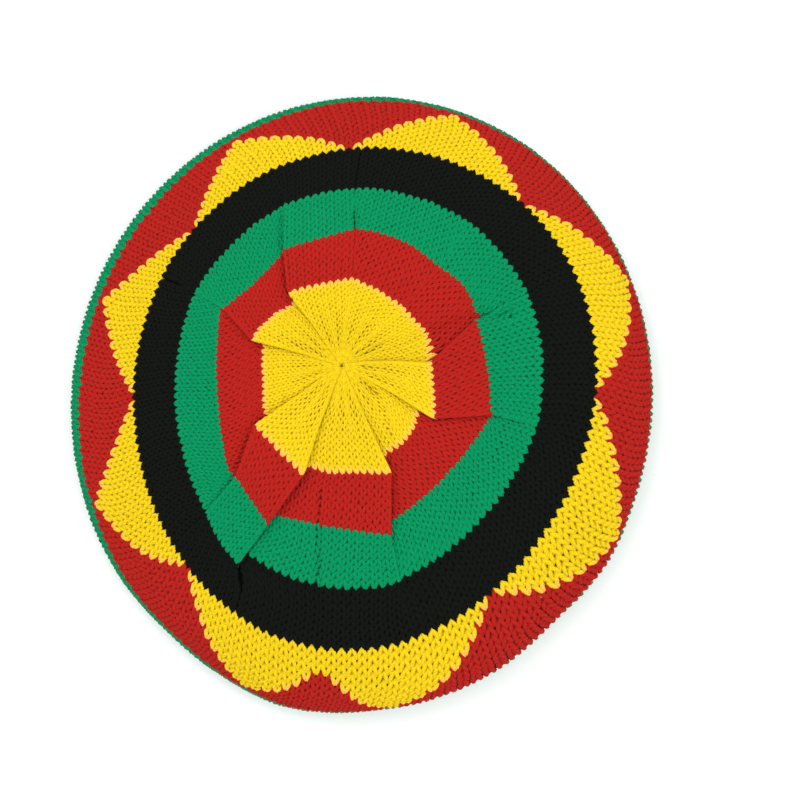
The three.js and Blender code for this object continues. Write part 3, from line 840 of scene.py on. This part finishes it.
def shell(top: Array, bottom: Array, keep: Array | None = None) -> Sheet:
    """Makes a closed thin sheet that goes round the tam from a grid of upper points and one of lower points.

    Args:
        top: Upper points, by row and column.
        bottom: Lower points, by row and column.
        keep: Which cells are part of the sheet, by row and column, or none for all.

    Returns:
        The points and the quads, facing out.
    """
    rows, width = top.shape[:2]
    if keep is None:
        keep = np.ones((rows - 1, width), bool)
    side = rows * width
    row, column = np.nonzero(keep)
    next_column = (column + 1) % width
    a, b = row * width + column, (row + 1) * width + column
    c, d = (row + 1) * width + next_column, row * width + next_column
    quads = [np.stack([d, c, b, a], -1), np.stack([a, b, c, d], -1) + side]
    padded = np.pad(keep, ((1, 1), (0, 0)))
    for goes_on, first, second in (
        (padded[row, column], a, d), (padded[row + 2, column], c, b),
        (keep[row, column - 1], b, a), (keep[row, next_column], d, c),
    ):
        f, s = first[~goes_on], second[~goes_on]
        quads.append(np.stack([f, f + side, s + side, s], -1))
    return np.concatenate([top.reshape(-1, 3), bottom.reshape(-1, 3)]), np.concatenate(quads)


def sheet_behind(point: Array, face: Array, stitch: Stitch, keep: Array | None = None) -> Sheet:
    """Makes the thin sheet behind stitches, from points in the fabric and the ways that it faces."""
    top, bottom = (point - face * (stitch.lies_below + depth) for depth in (SHEET_UPPER, SHEET_LOWER))
    return shell(top, bottom, keep)


def add_object(name: str, data: bpy.types.ID) -> bpy.types.Object:
    """Adds an object with its data to the scene."""
    thing = bpy.data.objects.new(name, data)
    bpy.context.scene.collection.objects.link(thing)
    return thing


def make_object(name: str, yarn: YarnMesh, sheet: Sheet,
                materials: list[bpy.types.Material]) -> bpy.types.Object:
    """Makes one object of yarn tubes and the thin sheet behind them.

    Args:
        name: The piece's name.
        yarn: The tubes, in mm.
        sheet: Points in mm and quads of the sheet.
        materials: The material of the yarn and of the sheet.

    Returns:
        The object, linked to the scene.
    """
    sheet_points, sheet_quads = sheet
    points = np.concatenate([*yarn.points, sheet_points]) * MM
    quads = np.concatenate([*yarn.quads, sheet_quads + yarn.total])
    caps = np.concatenate(yarn.caps)
    faces = len(quads) + len(caps)
    loops = np.concatenate([quads.ravel(), caps.ravel()]).astype(np.int32)
    starts = np.concatenate([np.arange(len(quads)) * 4, quads.size + np.arange(len(caps)) * caps.shape[1]])
    is_sheet = np.zeros(faces, np.int32)
    is_sheet[len(quads) - len(sheet_quads):len(quads)] = 1
    mesh = bpy.data.meshes.new(name)
    mesh.vertices.add(len(points))
    mesh.vertices.foreach_set("co", points.astype(np.float32).ravel())
    mesh.loops.add(len(loops))
    mesh.loops.foreach_set("vertex_index", loops)
    mesh.polygons.add(faces)
    mesh.polygons.foreach_set("loop_start", starts.astype(np.int32))
    mesh.polygons.foreach_set("material_index", is_sheet)
    mesh.update(calc_edges=True)
    mesh.polygons.foreach_set("use_smooth", np.ones(faces, bool))
    maps = np.zeros((len(loops), 2), np.float32)
    yarn_maps = np.concatenate(yarn.quad_maps)
    maps[:len(yarn_maps)] = yarn_maps
    mesh.uv_layers.new(name=YARN_MAP).data.foreach_set("uv", maps.ravel())
    tints = np.zeros(len(points), np.float32)
    tints[:yarn.total] = np.concatenate(yarn.tints)
    mesh.attributes.new(TINT, "FLOAT", "POINT").data.foreach_set("value", tints)
    for material in materials:
        mesh.materials.append(material)
    log.info("%s: %d triangles", name, 2 * len(quads) + len(caps) * (caps.shape[1] - 2))
    return add_object(name, mesh)


class Tree:
    """A node tree, with short ways to add nodes. An input is a number, a colour or another node's output."""

    # The places of the sockets for colours on a Mix node
    MIX_INPUTS = (0, 6, 7)
    MIX_OUTPUT = 2

    def __init__(self, tree: bpy.types.NodeTree) -> None:
        """Keeps the tree."""
        self.tree = tree

    def feed(self, node: bpy.types.Node, inputs: dict[str | int, object]) -> None:
        """Sets or links inputs of a node, each by its name or place."""
        for key, value in inputs.items():
            if isinstance(value, bpy.types.NodeSocket):
                self.tree.links.new(value, node.inputs[key])
            else:
                node.inputs[key].default_value = value

    def add(self, kind: str, inputs: dict[str | int, object] | None = None,
            **settings: object) -> bpy.types.Node:
        """Adds a node of a kind, with its settings and then its inputs."""
        node = self.tree.nodes.new(kind)
        for name, value in settings.items():
            setattr(node, name, value)
        self.feed(node, inputs or {})
        return node

    def math(self, operation: str, *values: object) -> bpy.types.NodeSocket:
        """Adds a Math node and gives its output."""
        return self.add("ShaderNodeMath", dict(enumerate(values)), operation=operation).outputs[0]

    def mix(self, factor: object, first: object, second: object) -> bpy.types.NodeSocket:
        """Adds a Mix node for colours and gives its output."""
        inputs = dict(zip(self.MIX_INPUTS, (factor, first, second)))
        return self.add("ShaderNodeMix", inputs, data_type="RGBA").outputs[self.MIX_OUTPUT]


def start_group(name: str, takes: dict[str, str | float],
                gives: dict[str, str]) -> tuple[Tree, bpy.types.Node, bpy.types.Node]:
    """Starts a node group.

    Args:
        name: The group's name.
        takes: The kind of each input, or for a number its value unless it is fed.
        gives: The kind of each output.

    Returns:
        Its tree, and the nodes that its inputs come from and its outputs go to.
    """
    group = bpy.data.node_groups.new(name, "ShaderNodeTree")
    for side, sockets in (("INPUT", takes), ("OUTPUT", gives)):
        for label, kind in sockets.items():
            is_number = isinstance(kind, float)
            socket = group.interface.new_socket(
                label, in_out=side, socket_type="NodeSocketFloat" if is_number else f"NodeSocket{kind}")
            if is_number:
                socket.default_value = kind
    tree = Tree(group)
    return tree, tree.add("NodeGroupInput"), tree.add("NodeGroupOutput")


def plies_group() -> bpy.types.NodeTree:
    """Builds the twist of a plied yarn.

    The height is the sine's size of a half turn per ply, with the plies going round the yarn once in every
    turn of its length. The groove mask is 1 where two plies meet, and darkens the colour there as painted
    shade.
    """
    takes = {"Along": "Float", "Around": "Float", "Turn": 5.0, "Plies": 3.0}
    tree, inside, outside = start_group("yarn_plies", takes, {"Height": "Float", "Groove Shade": "Float"})
    given = inside.outputs
    turns = tree.math("ADD", tree.math("DIVIDE", given["Along"], given["Turn"]), given["Around"])
    half_turns = tree.math("MULTIPLY", tree.math("MULTIPLY", turns, given["Plies"]), math.pi)
    height = tree.math("ABSOLUTE", tree.math("SINE", half_turns))
    # Painted shade: a mask that is 1 where two plies meet, where the colour is darkened
    groove_shade = tree.math("POWER", tree.math("SUBTRACT", 1.0, height), 2.0)
    tree.feed(outside, {"Height": height, "Groove Shade": groove_shade})
    return tree.tree


# The scale and detail of the noise over the whole tam, of that in each stitch and of the fibres, the share of
# the first in the tone, and how strongly the tone swings
WOOL_NOISES = ((22.0, 2.0), (420.0, 2.0), (2600.0, 3.0))
SLOW_SHARE = 0.45
TONE_SWING = 4.0


def wool_group() -> bpy.types.NodeTree:
    """Builds the uneven tone and the loose fibres of wool.

    The tone is slow noise over the whole tam plus quick noise in each stitch. The fibres are fine noise.
    """
    takes = {"Place": "Vector", "Colour": "Color", "Uneven": 0.12}
    tree, inside, outside = start_group("wool_tone", takes, {"Colour": "Color", "Fibres": "Float"})
    given = inside.outputs
    noises = [tree.add("ShaderNodeTexNoise", {"Scale": scale, "Detail": detail, "Vector": given["Place"]})
              for scale, detail in WOOL_NOISES]
    slow, quick, fibres = (noise.outputs["Fac"] for noise in noises)
    blend = tree.math("ADD", tree.math("MULTIPLY", slow, SLOW_SHARE),
                      tree.math("MULTIPLY", quick, 1 - SLOW_SHARE))
    swing = tree.math("MULTIPLY", tree.math("SUBTRACT", blend, 0.5), given["Uneven"])
    value = tree.math("ADD", tree.math("MULTIPLY", swing, TONE_SWING), 1.0)
    hue = tree.add("ShaderNodeHueSaturation", {"Color": given["Colour"], "Value": value})
    tree.feed(outside, {"Colour": hue.outputs["Color"], "Fibres": fibres})
    return tree.tree


@dataclass(frozen=True)
class YarnFinish:
    """The finish of one yarn: its colours in linear light, its twist and how its loose fibres catch light."""

    name: str
    colour: Colour
    # The yarn's colour darkened as painted shade in the grooves between its plies
    groove_shade: Colour
    # The colour of the sheet behind the stitches: the fabric's back, in the yarn's colour darkened as painted
    # shade in the holes
    behind: Colour
    by_red: Colour | None = None
    uneven: float = 0.06
    roughness: float = 0.86
    sheen: float = 0.04
    sheen_roughness: float = 0.55
    specular: float = 0.03
    fibre_share: float = 0.45
    relief_m: float = 0.00035
    relief_strength: float = 0.5
    backing_roughness: float = 0.95
    backing_relief_m: float = 0.0006

    def make(self, groups: dict[str, bpy.types.NodeTree], name: str = "",
             behind: Colour | None = None) -> bpy.types.Material:
        """Builds the material.

        Args:
            groups: The shared node groups by name.
            name: What the material's name adds to the finish's.
            behind: The colour of the sheet seen between the stitches, the yarn's colour darkened as painted
                shade, or none for the yarn itself.

        Returns:
            The material.
        """
        material = bpy.data.materials.new(self.name + name)
        material.use_nodes = True
        tree = Tree(material.node_tree)
        shader = material.node_tree.nodes["Principled BSDF"]
        tree.feed(shader, {
            "Roughness": self.backing_roughness if behind else self.roughness,
            "Specular IOR Level": self.specular,
            "Sheen Weight": 0.0 if behind else self.sheen,
            "Sheen Roughness": self.sheen_roughness,
            "Sheen Tint": (*(0.5 + 0.5 * part for part in self.colour), 1.0),
        })
        place = tree.add("ShaderNodeTexCoord").outputs["Object"]
        # For the sheet the colour is its darker one, painted shade in the holes between the stitches
        inputs = {"Uneven": self.uneven, "Colour": (*(behind or self.colour), 1.0), "Place": place}
        wool = tree.add("ShaderNodeGroup", inputs, node_tree=groups["wool"])
        colour, fibres = wool.outputs["Colour"], wool.outputs["Fibres"]
        relief = {"Height": fibres, "Distance": self.backing_relief_m}
        if not behind:
            lay = tree.add("ShaderNodeUVMap", uv_map=YARN_MAP)
            lay = tree.add("ShaderNodeSeparateXYZ", {0: lay.outputs["UV"]})
            inputs = {"Along": lay.outputs["X"], "Around": lay.outputs["Y"]}
            plies = tree.add("ShaderNodeGroup", inputs, node_tree=groups["plies"])
            if self.by_red:
                tint = tree.add("ShaderNodeAttribute", attribute_name=TINT)
                colour = tree.mix(tint.outputs["Fac"], colour, (*self.by_red, 1.0))
            # Painted shade: the colour darkens where two plies meet
            colour = tree.mix(plies.outputs["Groove Shade"], colour, (*self.groove_shade, 1.0))
            height = tree.math("MULTIPLY_ADD", fibres, self.fibre_share, plies.outputs["Height"])
            relief = {"Height": height, "Distance": self.relief_m, "Strength": self.relief_strength}
        bump = tree.add("ShaderNodeBump", relief)
        tree.feed(shader, {"Base Color": colour, "Normal": bump.outputs["Normal"]})
        return material


# Each yarn's colour, its painted shade in the ply grooves, and the colour of the sheet behind its stitches.
# That sheet is the fabric's back, in the yarn's colour darkened as painted shade in the holes between the
# stitches.
FINISHES = {
    YarnColour.YELLOW: YarnFinish("yellow_wool", (0.705, 0.505, 0.008), (0.615, 0.430, 0.007),
                                  (0.14, 0.07, 0.004), by_red=(0.93, 0.42, 0.12)),
    YarnColour.RED: YarnFinish("red_wool", (0.375, 0.013, 0.009), (0.345, 0.011, 0.008),
                               (0.30, 0.009, 0.007)),
    YarnColour.GREEN: YarnFinish("green_wool", (0.001, 0.231, 0.087), (0.001, 0.205, 0.077),
                                 (0.001, 0.15, 0.056)),
    YarnColour.BLACK: YarnFinish("black_wool", (0.0050, 0.0060, 0.0046), (0.0042, 0.0050, 0.0038),
                                 (0.0032, 0.0034, 0.003), sheen=0.01),
}

# The colour of the sheet between the stitches of the crown's middle, where they are drawn close: the yellow
# darkened less, as lighter painted shade in the small holes there
GATHERED_BACKING_SHADE = (0.58, 0.39, 0.007)


class Wardrobe:
    """The materials of the four yarns, made once, and the pieces that wear them."""

    def __init__(self) -> None:
        """Builds the node groups and every yarn's two materials: the yarn's own, and a darker copy for the
        sheet behind its stitches whose colour is painted shade.
        """
        groups = {"plies": plies_group(), "wool": wool_group()}
        self.materials = {colour: [finish.make(groups), finish.make(groups, "_behind", finish.behind)]
                          for colour, finish in FINISHES.items()}
        # The crown's middle has its own sheet material, with lighter painted shade in its small holes
        gathered = FINISHES[YarnColour.YELLOW].make(groups, "_gathered", GATHERED_BACKING_SHADE)
        self.gathered = [self.materials[YarnColour.YELLOW][0], gathered]

    def piece(self, name: str, knitted: YarnMesh, sheet: Sheet, colour: YarnColour, nodes: list[str],
              gathered: bool = False) -> None:
        """Makes a piece, hides the frame nodes that it stands for and hangs it on its body.

        Args:
            name: The piece's name.
            knitted: Its yarn.
            sheet: The thin sheet behind the yarn.
            colour: Which yarn it is.
            nodes: The frame nodes that it stands for.
            gathered: Whether its sheet takes the lighter painted shade of the crown's gathered middle.
        """
        piece = make_object(name, knitted, sheet, self.gathered if gathered else self.materials[colour])
        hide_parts(*nodes)
        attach(piece, "root")


@dataclass
class CrownRing:
    """A round of one yarn in the crown, from one yarn change to the next, made panel by panel."""

    name: str
    node: str
    colour: YarnColour
    first_course: int
    end_course: int
    fabric: Fabric
    samples: int = 9
    sides: int = 5
    stitch: Stitch = field(default_factory=Stitch)

    # Where the sheet is sampled on its way from a panel's edge to the bottom of the pleat
    FOLD_SAMPLES = (0.12, 0.25, 0.4, 0.55, 0.7, 0.85, 1.0)
    # The course that the sheet over the gather starts at, and half the step in share at which it reads slopes
    SHEET_START = 0.35
    SHARE_STEP = 0.03

    def runs(self) -> list[Run]:
        """Lists the runs of yarn: one in each panel and course, as far as the panel shows and a little on.

        The last course of the yellow is tinted by the red beside it.
        """
        fabric = self.fabric
        runs = []
        for course in range(self.first_course, self.end_course):
            by_red = float(self.colour is YarnColour.YELLOW and course == self.end_course - 1)
            for panel in range(len(PANELS)):
                stitches = np.arange(math.ceil(fabric.from_wale[panel] - 0.5),
                                     math.ceil(fabric.to_wale[panel] - 0.5))
                middle = np.full(len(stitches), course + 0.5)
                share = fabric.share_across(np.full(len(stitches), panel), middle, stitches + 0.5)
                before, after = self._margins(panel, course + 0.5)
                kept = stitches[(share > -before) & (share < 1 + after)]
                if len(kept):
                    tinted = np.full(len(kept), by_red)
                    runs.append(Run(panel, course, int(kept[0]), len(kept), tinted=tinted))
        return runs

    def _margins(self, panel: int, course: float) -> list[float]:
        """Finds how far past its start and its end a panel is knitted on, in shares of its shown width.

        It is knitted on a little where it lies on top, and as far as it is seen where it goes under.
        """
        fabric = self.fabric
        place = np.array([panel]), np.array([course])
        length = fabric.by_course(fabric.lengths, *place)[0]
        margins = []
        for end in (0, 1):
            goes_under = fabric.over[panel, end] < -CLEARLY
            reach = np.linalg.norm(fabric.under_reach(*place, np.array([end == 1]))) if goes_under else 0.0
            margins.append((reach + TUCKED_MM) / length)
        return margins

    def sheet(self) -> Sheet:
        """Makes the thin sheet behind the stitches, down into the pleats and up again."""
        fabric = self.fabric
        folds = np.array(self.FOLD_SAMPLES)
        columns = []
        for index, wales in enumerate(fabric.to_wale - fabric.from_wale):
            number = max(int(round(wales)), 4)
            share = np.concatenate([np.zeros(len(folds)), np.linspace(0, 1, number), np.ones(len(folds) - 1)])
            folded = np.concatenate([-folds[::-1], np.zeros(number), folds[:-1]])
            columns.append(np.stack([np.full(len(share), index), share, folded]))
        panel, share, folded = np.concatenate(columns, axis=1)
        if len(panel) % 2:
            # The fan over the gather takes the columns two by two
            panel, share, folded = (np.delete(part, 1) for part in (panel, share, folded))
        courses = np.arange(self.first_course, self.end_course + 1, dtype=float)
        courses[0] = max(courses[0], self.SHEET_START)
        course, panel = np.meshgrid(courses, panel.astype(int), indexing="ij")
        share, folded = np.broadcast_to(share, course.shape), np.broadcast_to(folded, course.shape)
        point = fabric.folded_place(panel, course, share, folded)
        point[..., 2] -= fabric.crease_dip(point, course)
        face = facing(lambda c, s: fabric.panel_place(panel, c, s), course, np.clip(share, *FACED_SHARES),
                      self.SHARE_STEP)
        points, quads = sheet_behind(point + fabric.shift, face, self.stitch)
        return self._close_centre(points, quads, *course.shape) if self.first_course == 0 else (points, quads)

    @staticmethod
    def _close_centre(points: Array, quads: Array, rows: int, width: int) -> Sheet:
        """Closes the sheet over the gather with a fan of quads from a middle point on each face."""
        side = rows * width
        first = np.arange(width)
        inner_wall = np.isin(quads, first).any(axis=1) & np.isin(quads, first + side).any(axis=1)
        middles = [points[first + offset].mean(0) for offset in (0, side)]
        even = np.arange(0, width, 2)
        fan = [(even + 2) % width, even + 1, even]
        upper = np.stack([np.full(len(even), len(points)), *fan], -1)
        lower = np.stack([np.full(len(even), len(points) + 1), *(part + side for part in fan[::-1])], -1)
        return np.concatenate([points, middles]), np.concatenate([quads[~inner_wall], upper, lower])

    def build(self, wardrobe: Wardrobe) -> None:
        """Knits the ring and dresses it."""
        fabric = self.fabric
        knitter = Knitter(fabric.place, lambda panel, course, wale: fabric.wale_width(panel, course),
                          self.stitch, self.samples, self.sides, faced=fabric.faced_wale)
        knitter.knit(self.runs())
        wardrobe.piece(self.name, knitter.mesh, self.sheet(), self.colour, [self.node],
                       gathered=self.first_course == 0)


@dataclass
class PlainRing:
    """Rounds of knitting past the black edge, where the wales run on without pleats."""

    fabric: Fabric
    first_course: int
    end_course: int
    samples: int = 9
    sides: int = 5
    stitch: Stitch = field(default_factory=Stitch)

    # How tinted the first and the last stitch of a yellow course are, and where the last row of a sheet ends
    EDGE_TINT = 0.9
    LAST_COURSE = BAND_EDGE - 0.05

    def width(self, panel: Array, course: Array, wale: Array) -> Array:
        """Finds how wide wales are at courses, in mm, from one side of the wale to the other."""
        across = self.place(panel, course, wale + 0.5) - self.place(panel, course, wale - 0.5)
        return np.linalg.norm(across, axis=-1)

    def place(self, panel: Array, course: Array, wale: Array) -> Array:
        """Finds points of the fabric by course and wale. The panel is the one that the wale falls in."""
        wale = np.mod(wale, WALES)
        index = np.searchsorted(self.fabric.from_wale, wale, side="right") - 1
        wale = np.where(index < 0, wale + WALES, wale)
        return self.fabric.place(np.mod(index, len(PANELS)), course, wale)

    def sheet(self, keep: Array) -> Sheet:
        """Makes the thin sheet behind the stitches whose cells are kept."""
        course, wale = np.meshgrid(np.arange(self.first_course, self.end_course + 1, dtype=float),
                                   np.arange(WALES, dtype=float), indexing="ij")
        panel = np.zeros(course.shape, int)
        point = self.place(panel, np.minimum(course, self.LAST_COURSE), wale)
        face = facing(lambda c, w: self.place(panel, c, w), course, wale)
        return sheet_behind(point, face, self.stitch, keep)

    @staticmethod
    def _stretches(kept: Array) -> list[tuple[int, int]]:
        """Lists the stretches of kept stitches in a course, as first stitch and number, past the seam too."""
        if kept.all():
            return [(0, len(kept))]
        offset = int(np.nonzero(~kept)[0][0])
        turned = np.roll(kept, -offset)
        edges = np.flatnonzero(np.diff(np.concatenate([[0], turned.astype(int), [0]])))
        return [(int(a) + offset, int(b - a)) for a, b in zip(edges[::2], edges[1::2])]

    def build(self, wardrobe: Wardrobe, name: str, colour: YarnColour, nodes: list[str],
              kept: Array | None = None) -> None:
        """Knits the stitches that are kept and dresses them as one piece.

        Args:
            wardrobe: The materials.
            name: The piece's name.
            colour: Which yarn it is. A yellow one is tinted where it meets the red.
            nodes: The frame nodes that it stands for.
            kept: Which stitches it has, by course and wale, or none for all.
        """
        if kept is None:
            kept = np.ones((self.end_course - self.first_course, WALES), bool)
        runs = []
        for row, stitches in enumerate(kept):
            for start, count in self._stretches(stitches):
                tinted = np.zeros(count)
                tinted[[0, -1]] = self.EDGE_TINT if colour is YarnColour.YELLOW else 0.0
                runs.append(Run(0, self.first_course + row, start, count, count == WALES, tinted))
        knitter = Knitter(self.place, self.width, self.stitch, self.samples, self.sides)
        knitter.knit(runs)
        wardrobe.piece(name, knitter.mesh, self.sheet(kept), colour, nodes)


def zigzag_chart() -> Array:
    """Charts the zigzag: which of its stitches are yellow, by course and wale.

    A point is 19 wales wide on the black edge and one wale narrower on each side at every course. A stitch is
    yellow or red by its distance from the nearest tip, also past the back seam.
    """
    wale = np.arange(WALES) + 0.5
    tips = (POINT_TIPS[:, 0] + WALES * np.array([[-1], [0], [1]])).ravel()
    off = np.abs(wale[:, None] - tips).min(axis=1)
    up = np.arange(POINTS_EDGE - BLACK_EDGE)
    return off < (REPEAT_WALES - 1) / 2 - up[:, None]


@dataclass
class RibBand:
    """The head band: two knit wales and two purl wales in turn, drawn in at its lower edge."""

    fabric: Fabric
    half_top: Pair = (84.5, 88.5)
    half_foot: Pair = (80.0, 84.0)
    bulge: float = 1.6
    wall: float = 4.0
    ribs: int = 28
    courses: int = 9
    rib_raise: float = 0.55
    rib_sharpness: float = 2.6
    foot_cord: float = 1.15
    top_gap: float = 0.6
    foot_rise: float = 0.5
    wale_mm: float = 4.4
    course_mm: float = 3.0
    sheet_half: float = 0.3
    sides: int = 5

    def place(self, panel: Array, course: Array, wale: Array) -> Array:
        """Finds points in the middle of the band's wall.

        The wall is an ellipse whose half sizes go straight from top to foot, with a bulge of 4d(1 - d) at the
        share d of the way down. Knit wales stand out and purl wales lie back.
        """
        down = np.clip(course / self.courses, 0, 1)
        angle = 2 * math.pi * wale / (4 * self.ribs)
        out = self.bulge * 4 * down * (1 - down) - self.wall / 2 + self.rib_raise * self.purl(wale)
        half_x, half_y = (top + (foot - top) * down + out for top, foot in zip(self.half_top, self.half_foot))
        top, foot = BAND_HEIGHT - self.top_gap, 2 * self.foot_cord
        height = top + (foot - top) * course / self.courses
        return np.stack([half_x * np.sin(angle), half_y * np.cos(angle), height], axis=-1) + self.fabric.shift

    def purl(self, wale: Array) -> Array:
        """Gives 1 in the knit wales and -1 in the purl wales, with a quick smooth change between."""
        return np.tanh(self.rib_sharpness * np.sin(2 * math.pi * wale / 4)) / math.tanh(self.rib_sharpness)

    def _width(self, panel: Array, course: Array, wale: Array) -> Array:
        """Gives the width of a wale in mm, which is the same all over the band."""
        return np.full(np.shape(course), self.wale_mm)

    def _foot(self, panel: Array, course: Array, wale: Array) -> Array:
        """Finds points along the middle of the foot cord, a course of it going up the wall."""
        point = self.place(panel, np.full(np.shape(course), float(self.courses)), wale)
        point[..., 2] = self.foot_cord + self.foot_rise - (course - 0.5) * self.course_mm
        return point

    def build(self, wardrobe: Wardrobe) -> None:
        """Knits the band, its foot cord and the sheet in its wall."""
        wales = 4 * self.ribs
        stitch = Stitch(reach=0.82, raise_mm=0.8, head_drop=0.0, lies_below=0.0, thick_mm=0.95)
        knitter = Knitter(self.place, self._width, stitch, samples=10, sides=self.sides, purl=self.purl)
        knitter.knit([Run(0, course, 0, wales, closed=True) for course in range(self.courses)])
        cord = Stitch(reach=0.12, sway=0.06, raise_mm=0.22, head_drop=0.0, lies_below=0.0, flatness=1.0,
                      thin_mm=self.foot_cord, thick_mm=self.foot_cord)
        edge = Knitter(self._foot, self._width, cord, samples=4, sides=self.sides)
        edge.mesh = knitter.mesh
        edge.knit([Run(0, 0, 0, wales, closed=True)])
        course, wale = np.meshgrid(np.linspace(0, self.courses, self.courses * 2 + 1),
                                   np.arange(0, wales, 0.5), indexing="ij")
        panel = np.zeros(course.shape, int)
        point = self.place(panel, course, wale)
        half = facing(lambda c, w: self.place(panel, c, w), course, wale) * self.sheet_half
        wardrobe.piece("rib_band_knit", knitter.mesh, shell(point + half, point - half), YarnColour.GREEN,
                       ["rib_band"])


@dataclass(frozen=True)
class Studio:
    """A pale floor, soft light and the camera straight above."""

    look_at: Pair = (0.0166, 0.0018)
    camera_height: float = 2.4
    lens: float = 235.7
    sensor: float = 36.0
    far_clip: float = 50.0
    floor_half: float = 6.0

    # The name, place, size and power of each soft light
    LIGHTS = (
        ("key", (-1.1, 1.2, 1.9), 1.8, 26.0),
        ("fill", (1.4, -0.6, 1.7), 2.0, 16.0),
        ("top", (0.0, 0.0, 2.6), 2.2, 12.0),
    )

    def floor(self) -> None:
        """Lays a wide floor under the tam."""
        mesh = bpy.data.meshes.new("floor")
        corners = [(x * self.floor_half, y * self.floor_half, 0)
                   for x, y in ((-1, -1), (1, -1), (1, 1), (-1, 1))]
        mesh.from_pydata(corners, [], [(0, 1, 2, 3)])
        material = bpy.data.materials.new("pale_floor")
        material.use_nodes = True
        shader = material.node_tree.nodes["Principled BSDF"]
        Tree(material.node_tree).feed(shader, {"Base Color": (0.93, 0.93, 0.93, 1.0), "Roughness": 0.9})
        mesh.materials.append(material)
        add_object("floor", mesh)

    def light(self) -> None:
        """Hangs the soft lights and sets a pale sky."""
        for name, place, size, power in self.LIGHTS:
            lamp = bpy.data.lights.new(name, "AREA")
            lamp.energy = power
            lamp.size = size
            holder = add_object(name, lamp)
            holder.location = place
            holder.rotation_euler = (-Vector(place)).to_track_quat("-Z", "Y").to_euler()
        world = bpy.data.worlds.new("pale_sky")
        world.use_nodes = True
        background = world.node_tree.nodes["Background"]
        Tree(world.node_tree).feed(background, {"Color": (1.0, 1.0, 1.0, 1.0), "Strength": 1.0})
        bpy.context.scene.world = world
        bpy.context.scene.view_settings.view_transform = "Standard"

    def camera(self) -> None:
        """Sets the camera straight above, at the photograph's distance and frame."""
        data = bpy.data.cameras.new("camera")
        data.lens = self.lens
        data.sensor_width = self.sensor
        data.clip_end = self.far_clip
        camera = add_object("camera", data)
        camera.location = (*self.look_at, self.camera_height)
        bpy.context.scene.camera = camera


def main() -> None:
    """Builds the tam in the order of its courses, then the studio round it."""
    logging.basicConfig(level=logging.INFO, format="%(name)s: %(message)s")
    studio = Studio()
    studio.camera()
    fabric = Fabric()
    wardrobe = Wardrobe()
    for node, colour, first, end in (
        ("crown_centre", YarnColour.YELLOW, 0, YELLOW_EDGE),
        ("red_round", YarnColour.RED, YELLOW_EDGE, RED_EDGE),
        ("green_round", YarnColour.GREEN, RED_EDGE, GREEN_EDGE),
        ("black_round", YarnColour.BLACK, GREEN_EDGE, BLACK_EDGE),
    ):
        CrownRing(f"{node}_knit", node, colour, first, end, fabric).build(wardrobe)
    yellow = zigzag_chart()
    points = PlainRing(fabric, BLACK_EDGE, POINTS_EDGE, stitch=Stitch(share_of_wale=0.25))
    nodes = [f"yellow_point_{index + 1}" for index in range(len(POINT_TIPS))]
    points.build(wardrobe, "yellow_points_knit", YarnColour.YELLOW, nodes, yellow)
    points.build(wardrobe, "red_points_knit", YarnColour.RED, ["red_points"], ~yellow)
    for node, first, end, sides in (
        ("green_side", POINTS_EDGE, SIDE_EDGE, 5),
        ("green_under", SIDE_EDGE, BAND_EDGE, 4),
    ):
        ring = PlainRing(fabric, first, end, samples=8, sides=sides)
        ring.build(wardrobe, f"{node}_knit", YarnColour.GREEN, [node])
    RibBand(fabric).build(wardrobe)
    studio.floor()
    studio.light()


if __name__ == "__main__":
    main()
